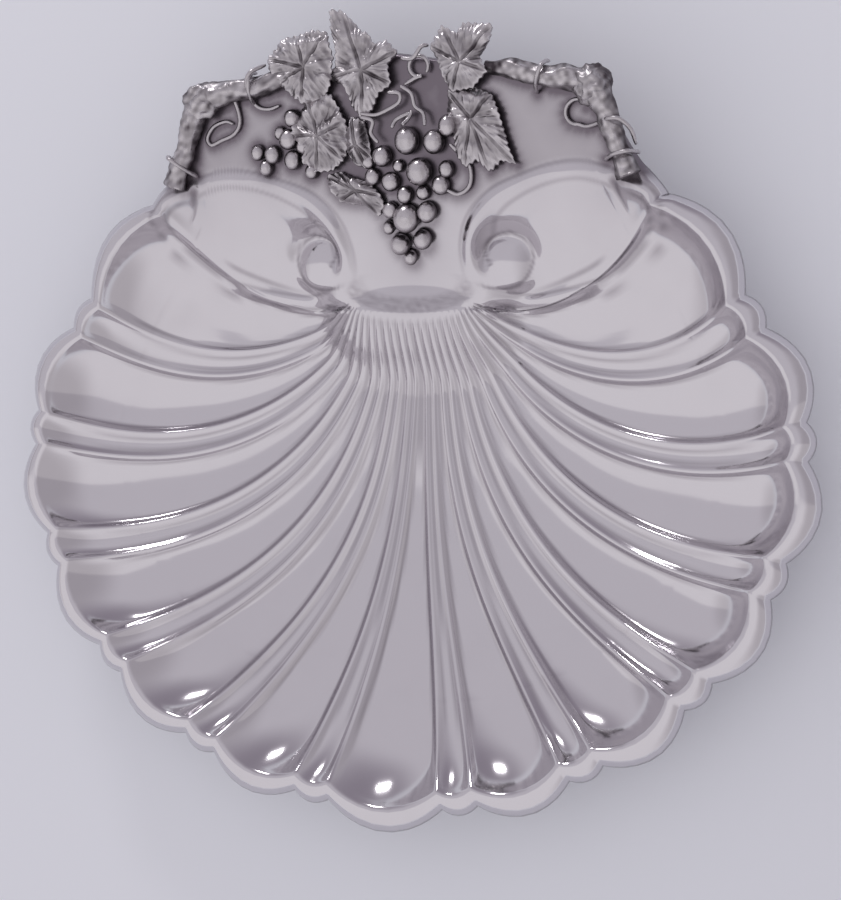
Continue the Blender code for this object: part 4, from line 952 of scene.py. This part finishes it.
def leaf(middle, outline, tips, lift, lumps, seed):
    """Leaf of height e + (c - e)(1 - s^2), s being the share of the way out, with veins and lumps."""
    middle, outline = np.array(middle), np.array(outline)
    tips = outline[list(tips)] - middle
    length, vein = np.hypot(*tips.T), np.arctan2(*tips.T[::-1])
    theta = 2 * math.pi * np.arange(LEAF_RAYS) / LEAF_RAYS
    reach = sawn_edge(middle, outline, theta)
    turn = (theta[:, None] - vein + math.pi) % (2 * math.pi) - math.pi
    lobe = np.abs(turn).argmin(1)
    turn, length = turn[np.arange(LEAF_RAYS), lobe], length[lobe]
    share = np.linspace(0.03, 1.0, LEAF_RINGS)
    rho = reach[:, None] * share
    u, v = rho * np.cos(turn)[:, None], np.abs(rho * np.sin(turn)[:, None])
    groove = hump(v, VEIN_WIDTH) * (1 - share**6)
    spacing = (length / SIDE_VEINS)[:, None]
    slant = np.abs(((u - SIDE_VEIN_SLOPE * v) / spacing) % 1.0 - 0.5) * spacing * 0.66
    side = hump(slant, SIDE_VEIN_WIDTH) * smooth(0.0006, 0.002, v) * (1 - share**8)
    plan = middle + rho[..., None] * np.stack([np.cos(theta), np.sin(theta)], -1)[:, None]
    swell = np.sin(math.pi * np.clip(v / (0.35 * length[:, None]), 0, 1)) * share * (1 - share**4)
    soft = ripples(plan, 0.011, seed) + 0.35 * ripples(plan, 0.0045, seed + 20)
    top = LEAF_EDGE + (LEAF_CENTRE - LEAF_EDGE) * (1 - share**2) + LEAF_SWELL * swell + lumps * soft
    top = np.maximum(top - VEIN_DEPTH * groove - SIDE_VEIN_DEPTH * side, LEAF_LEAST) + lift
    front = laid(np.concatenate([plan, top[..., None]], -1))
    back = front[:, [-1, LEAF_RINGS // 2]].copy()
    back[:, 0] -= [0.0, 0.0, LEAF_BACK]
    back[:, 1] = laid(np.column_stack([back[:, 1, :2], np.full(LEAF_RAYS, LEAF_BACK + 0.5 * lift)]))
    rings = np.concatenate([front, back], 1).transpose(1, 0, 2)[::-1]
    dull = 0.26 + 0.45 * groove + 0.14 * side - 0.22 * soft - 0.26 * smooth(0.85, 0.98, share)
    # The leaf's down-turned edge and back are dark: patina at the sheet, with painted shade under the edge.
    dull = np.concatenate([dull, np.full((LEAF_RAYS, 2), 0.85)], 1).T[::-1]
    return closed_rings(rings), np.concatenate([dull.ravel(), [0.9, 0.5]])


LEAVES = (
    ("left_leaf", (-0.0370, 0.1460), ((-0.0275, 0.1590), (-0.0335, 0.1600), (-0.0390, 0.1585),
     (-0.0445, 0.1575), (-0.0485, 0.1540), (-0.0520, 0.1495), (-0.0510, 0.1450), (-0.0475, 0.1400),
     (-0.0430, 0.1360), (-0.0385, 0.1325), (-0.0310, 0.1335), (-0.0270, 0.1390), (-0.0255, 0.1490)),
     (0, 2, 5, 7, 9), 0.0030, 0.0013, 1),
    ("left_lower_leaf", (-0.0325, 0.1190), ((-0.0370, 0.1370), (-0.0270, 0.1350), (-0.0215, 0.1250),
     (-0.0210, 0.1165), (-0.0230, 0.1100), (-0.0275, 0.1065), (-0.0345, 0.1060), (-0.0400, 0.1100),
     (-0.0395, 0.1150), (-0.0440, 0.1200), (-0.0425, 0.1260), (-0.0390, 0.1295)), (0, 2, 4, 6, 9),
     0.0016, 0.0016, 2),
    ("middle_leaf", (-0.0125, 0.1440), ((-0.0250, 0.1670), (-0.0200, 0.1665), (-0.0155, 0.1620),
     (-0.0130, 0.1590), (-0.0100, 0.1580), (-0.0080, 0.1540), (-0.0025, 0.1550), (0.0015, 0.1505),
     (-0.0025, 0.1460), (-0.0015, 0.1390), (-0.0065, 0.1355), (-0.0090, 0.1300), (-0.0130, 0.1255),
     (-0.0175, 0.1310), (-0.0205, 0.1390), (-0.0265, 0.1415), (-0.0235, 0.1470), (-0.0230, 0.1530),
     (-0.0250, 0.1590)), (1, 7, 9, 12, 15), 0.0026, 0.0009, 3),
    ("hanging_leaf", (-0.0165, 0.1150), ((-0.0190, 0.1265), (-0.0140, 0.1250), (-0.0115, 0.1155),
     (-0.0110, 0.1105), (-0.0135, 0.1070), (-0.0180, 0.1085), (-0.0210, 0.1130), (-0.0215, 0.1190)),
     (0, 3, 4, 6), 0.0012, 0.0009, 4),
    ("small_leaf", (-0.0180, 0.0975), ((-0.0300, 0.1040), (-0.0245, 0.1055), (-0.0180, 0.1025),
     (-0.0125, 0.1010), (-0.0080, 0.0960), (-0.0070, 0.0925), (-0.0095, 0.0880), (-0.0150, 0.0925),
     (-0.0205, 0.0930), (-0.0255, 0.0940), (-0.0290, 0.0985)), (0, 1, 4, 6, 9), 0.0006, 0.0012, 5),
    ("right_leaf", (0.0320, 0.1240), ((0.0225, 0.1350), (0.0285, 0.1345), (0.0340, 0.1355),
     (0.0400, 0.1330), (0.0425, 0.1275), (0.0445, 0.1205), (0.0465, 0.1135), (0.0490, 0.1070),
     (0.0435, 0.1085), (0.0385, 0.1045), (0.0335, 0.1090), (0.0285, 0.1065), (0.0255, 0.1110),
     (0.0245, 0.1190), (0.0225, 0.1270)), (0, 3, 7, 9, 11), 0.0012, 0.0008, 6),
    ("right_upper_leaf", (0.0290, 0.1450), ((0.0215, 0.1590), (0.0275, 0.1560), (0.0300, 0.1595),
     (0.0415, 0.1585), (0.0405, 0.1525), (0.0360, 0.1475), (0.0390, 0.1415), (0.0330, 0.1360),
     (0.0245, 0.1350), (0.0215, 0.1400), (0.0195, 0.1465), (0.0165, 0.1515)), (0, 3, 6, 8, 11),
     0.0030, 0.0008, 7))

# %% [markdown]
# ## Setting the vine on the ledge
# Each leaf, branch, wire and the grapes become pieces of the casting. Tarnish lies in their low parts,
# where polishing does not reach: in veins and in the crevices at the sheet. The lower sides of grapes
# and branches and the leaves' back edges are darker as well, partly that patina and partly painted shade.

# %% The vine's pieces
grape_forms, grape_dull = grapes()
vine_piece("grapes", grape_forms, grape_dull)
for name, middle, outline, tips, lift, lumps, seed in LEAVES:
    form, dull = leaf(middle, outline, tips, lift, lumps, seed)
    vine_piece(name, [form], dull)
for name, side, seed in (("right_branch", 1.0, 1), ("left_branch", -1.0, 4)):
    forms = [closed_rings(branch(side, seed)), closed_rings(knot(side, seed))]
    points = joined(forms)[0]
    # Branches and knots darker low down, lighter on top: patina in the crevice at the sheet, and painted
    # shade on the lower side.
    level = points[:, 2] - height(points[:, 0], points[:, 1])
    vine_piece(name, forms, 1.05 - 0.75 * smooth(0.0034, 0.0078, level) + 0.42 * ripples(points, 0.004, seed))
vine_piece("tendrils", [closed_rings(tendril(points)) for points in TENDRILS], 0.15)

# %% [markdown]
# ## Tarnish and painted shade on the bowl
# Fine dark lines lie at the feet of all ribs and in the volutes' grooves: patina in the creases, with
# painted shade there too. The ledge is painted a little darker, a stippled crescent darkens the hinge,
# and round the casting a painted shadow fades out over the ledge, with painted shade under the vine.

# %% Tarnish and painted shade of the shell
CRESCENT_OUTER, CRESCENT_INNER = (0.0, 0.0590, 0.0275, 0.0095), (0.0, 0.0630, 0.0240, 0.0072)
# Painted shade under the vine fills this oval; the painted shadow round the casting has this width and reach.
UNDER_THE_VINE = (0.002, 0.124, 0.034, 0.030)
SHADOW_WIDTH, SHADOW_REACH = 0.0028, 0.012


def in_oval(x, y, oval):
    """Distance from an oval's middle as a share of its reach: sqrt(((x - a) / c)^2 + ((y - b) / d)^2)."""
    return np.hypot((x - oval[0]) / oval[2], (y - oval[1]) / oval[3])


def drawn_lines(x, y):
    """Thin dark lines, patina with painted shade in the creases: at the feet of the volute's band and rib, in
    its spiral, valley and notch.
    """
    away, share, _ = nearest(x, y, BAND)
    width = np.interp(share, BAND_SHARES, BAND_WIDTHS)
    dark = 0.30 * hump(away - width, 0.0014) * ends_faded(share, 0.2, 0.05)
    away, share, _ = nearest(x, y, SPIRAL)
    dark = np.maximum(dark, 0.62 * hump(away, SPIRAL_WIDTH) * ends_faded(share, 0.12, 0.02))
    away, share, _ = nearest(x, y, RIB)
    dark = np.maximum(dark, 0.40 * hump(away - RIB_WIDTH * 0.9, 0.0012) * ends_faded(share, 0.1, 0.06))
    away, share, _ = nearest(x, y, NOTCH)
    dark = np.maximum(dark, 0.45 * hump(away, 0.9 * NOTCH_WIDTH * (1.05 - share)))
    away, share, _ = nearest(x, y, VALLEY)
    return np.maximum(dark, 0.45 * hump(away, 0.0018) * ends_faded(share, 0.6, 0.15))


def shell_tarnish_and_shade(verts):
    """Tarnish and painted shade of the shell: rib feet, ledge, a stippled crescent at the hinge, and painted
    shadow round and under the casting.
    """
    x, y = verts[:, 0], verts[:, 1] - AXIS_Y
    dark = np.zeros(len(verts))
    inner = UPPER.shape[1] - FAN.shape[1]
    top = dark[:UPPER.shape[0] * UPPER.shape[1]].reshape(UPPER.shape[:2])
    # Rib feet: patina in the creases, with painted shade there too.
    top[:len(FAN), inner:inner + len(ROWS)] = 0.42 * RIB_FEET
    near = (y > 0.045) & (verts[:, 2] > 0.002)
    x, y = x[near], y[near]
    away, _, side = nearest(np.abs(x), y, BORDER)
    # The ledge is painted a little darker, for the darker tone it reflects.
    ledge = smooth(0.0, 0.004, away * side) * smooth(0.088, 0.106, y)
    within = 1.0 - smooth(0.90, 1.06, in_oval(x, y, CRESCENT_OUTER))
    crescent = within * smooth(0.75, 1.15, in_oval(x, y, CRESCENT_INNER))
    gap = nearest(x, y, np.concatenate(VINE)[::16, :2], 2000)[0]
    # Painted shadow round the casting and painted shade under the vine, laid on the ledge.
    painted_contact_shadow = 0.50 * np.exp(-(gap / SHADOW_WIDTH)**2) + 0.22 * np.exp(-gap / SHADOW_REACH)
    painted_shade_under_vine = 0.45 * (1.0 - smooth(0.6, 1.15, in_oval(x, y, UNDER_THE_VINE)))
    speckle = 0.40 * crescent * (0.8 + 0.3 * ripples(verts[near], 0.0028, 8))
    dark[near] = np.maximum(dark[near], drawn_lines(np.abs(x), y)) + 0.36 * ledge + speckle + painted_contact_shadow + painted_shade_under_vine
    return dark


BOWL_TARNISH_AND_SHADE = shell_tarnish_and_shade(BOWL_VERTS)
print("mean tarnish of the shell", BOWL_TARNISH_AND_SHADE.mean().round(3))
mark(bowl, BOWL_TARNISH_AND_SHADE)
bowl.data.materials.append(SHELL_METAL)
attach(bowl, "root")
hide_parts("shell_bowl")

# %% [markdown]
# ## The view
# The bowl lies on the table, and the camera looks down on it as in the photograph, a little from the
# right.

# %% Camera
VIEW_ACROSS, VIEW_DOWN, VIEW_ROLL = math.radians(18.13), math.radians(0.63), math.radians(1.54)
VIEW_DISTANCE, VIEW_FOCUS, IMAGE_WIDTH, SENSOR = 0.70, 1750.4, 841.0, 36.0
VIEW_TARGET = Vector((0.0130, AXIS_Y - 0.0070, RIM_HEIGHT))


def add_camera():
    """Camera whose back axis points from the target to the eye, rolled about it."""
    back = Vector((math.sin(VIEW_ACROSS) * math.cos(VIEW_DOWN), -math.sin(VIEW_DOWN),
                   math.cos(VIEW_ACROSS) * math.cos(VIEW_DOWN)))
    right = Vector((0.0, 1.0, 0.0)).cross(back).normalized()
    up = back.cross(right)
    c, s = math.cos(VIEW_ROLL), math.sin(VIEW_ROLL)
    across, upward = c * right + s * up, c * up - s * right
    eye = VIEW_TARGET + back * VIEW_DISTANCE
    data = bpy.data.cameras.new("view")
    data.sensor_fit = "HORIZONTAL"
    data.sensor_width = SENSOR
    data.lens = VIEW_FOCUS * SENSOR / IMAGE_WIDTH
    data.clip_start = 0.01
    camera = bpy.data.objects.new("view", data)
    rows = [(*row, e) for row, e in zip(zip(across, upward, back), eye)]
    camera.matrix_world = Matrix(rows + [(0, 0, 0, 1)])
    bpy.context.scene.collection.objects.link(camera)
    bpy.context.scene.camera = camera
    return camera


camera = add_camera()
print("camera at", tuple(round(c, 4) for c in camera.matrix_world.translation))
bpy.context.scene.view_settings.view_transform = "Standard"

# %% [markdown]
# ## Table, tent and lamps
# Silver is photographed in a light tent, because it mirrors what stands round it. Here the tent is the
# world's light, which depends on direction only. Overhead it is bright towards the front and greyer
# towards the hinge's side, with one crisp border between them that runs across the flutes. It darkens
# far out at the right, at the left and at the back, and low down it is the pale room. One lamp gives
# the white glints on the front lobes.

# %% Stage
FLOOR_COLOUR, FLOOR_REACH, FLOOR_ROUGHNESS = (0.80, 0.81, 0.86), 12.0, 0.6
FRONT_LIGHT, HINGE_LIGHT, LOW_ROOM = (0.86, 0.84, 0.87), (0.66, 0.64, 0.685), (0.76, 0.77, 0.82)
SIDE_DARK, BACK_DARK = (0.20, 0.17, 0.19), (0.33, 0.30, 0.35)
RIGHT_SHARE, LEFT_SHARE = 0.40, 0.30
LAMP_PLACE, LAMP_TARGET, LAMP_SIZE, LAMP_POWER = (-0.40, 1.30, 0.50), (0.0, -0.05, 0.03), (0.30, 0.11), 3.2


def tent_world():
    """Light that depends on direction only: the pale room low down, and the tent's sides above it."""
    world = bpy.data.worlds.new("tent")
    world.use_nodes = True
    bpy.context.scene.world = world
    finish = Finish(world.node_tree)
    way = finish.node("ShaderNodeTexCoord", output=0)
    x, y, z = (finish.node("ShaderNodeSeparateXYZ", None, {0: way}, output=i) for i in range(3))
    overhead = finish.mix((y + 0.02 * x).between(-0.012, 0.016), FRONT_LIGHT, HINGE_LIGHT)
    darker = x.between(0.30, 0.85) * RIGHT_SHARE + (0.0 - x).between(0.88, 1.0) * LEFT_SHARE
    sides = finish.mix(darker, overhead, SIDE_DARK)
    back = finish.mix(y.between(0.55, 0.98), sides, BACK_DARK)
    low = finish.mix(z.between(0.04, 0.14), LOW_ROOM, back)
    world.node_tree.links.new(low.socket, world.node_tree.nodes["Background"].inputs["Color"])
    return world


def add_lamp(name, place, target, size, power):
    """Rectangular white area lamp that faces the target."""
    data = bpy.data.lights.new(name, "AREA")
    data.shape = "RECTANGLE"
    data.size, data.size_y = size
    data.energy = power
    lamp = bpy.data.objects.new(name, data)
    lamp.location = place
    lamp.rotation_euler = (Vector(target) - Vector(place)).to_track_quat("-Z", "Y").to_euler()
    bpy.context.scene.collection.objects.link(lamp)
    return lamp


def add_floor():
    """Pale table under the bowl."""
    corners = [(x * FLOOR_REACH, y * FLOOR_REACH, 0.0) for x, y in ((-1, -1), (1, -1), (1, 1), (-1, 1))]
    material = bpy.data.materials.new("pale_table")
    material.use_nodes = True
    shader = material.node_tree.nodes["Principled BSDF"]
    shader.inputs["Base Color"].default_value = (*FLOOR_COLOUR, 1.0)
    shader.inputs["Roughness"].default_value = FLOOR_ROUGHNESS
    floor = new_piece("table", corners, [[[0, 1, 2, 3]]], material)
    return floor


tent_world()
add_floor()
lamp = add_lamp("glint_lamp", LAMP_PLACE, LAMP_TARGET, LAMP_SIZE, LAMP_POWER)
print("lamp", lamp.name, "of", lamp.data.energy, "watts at", LAMP_PLACE)
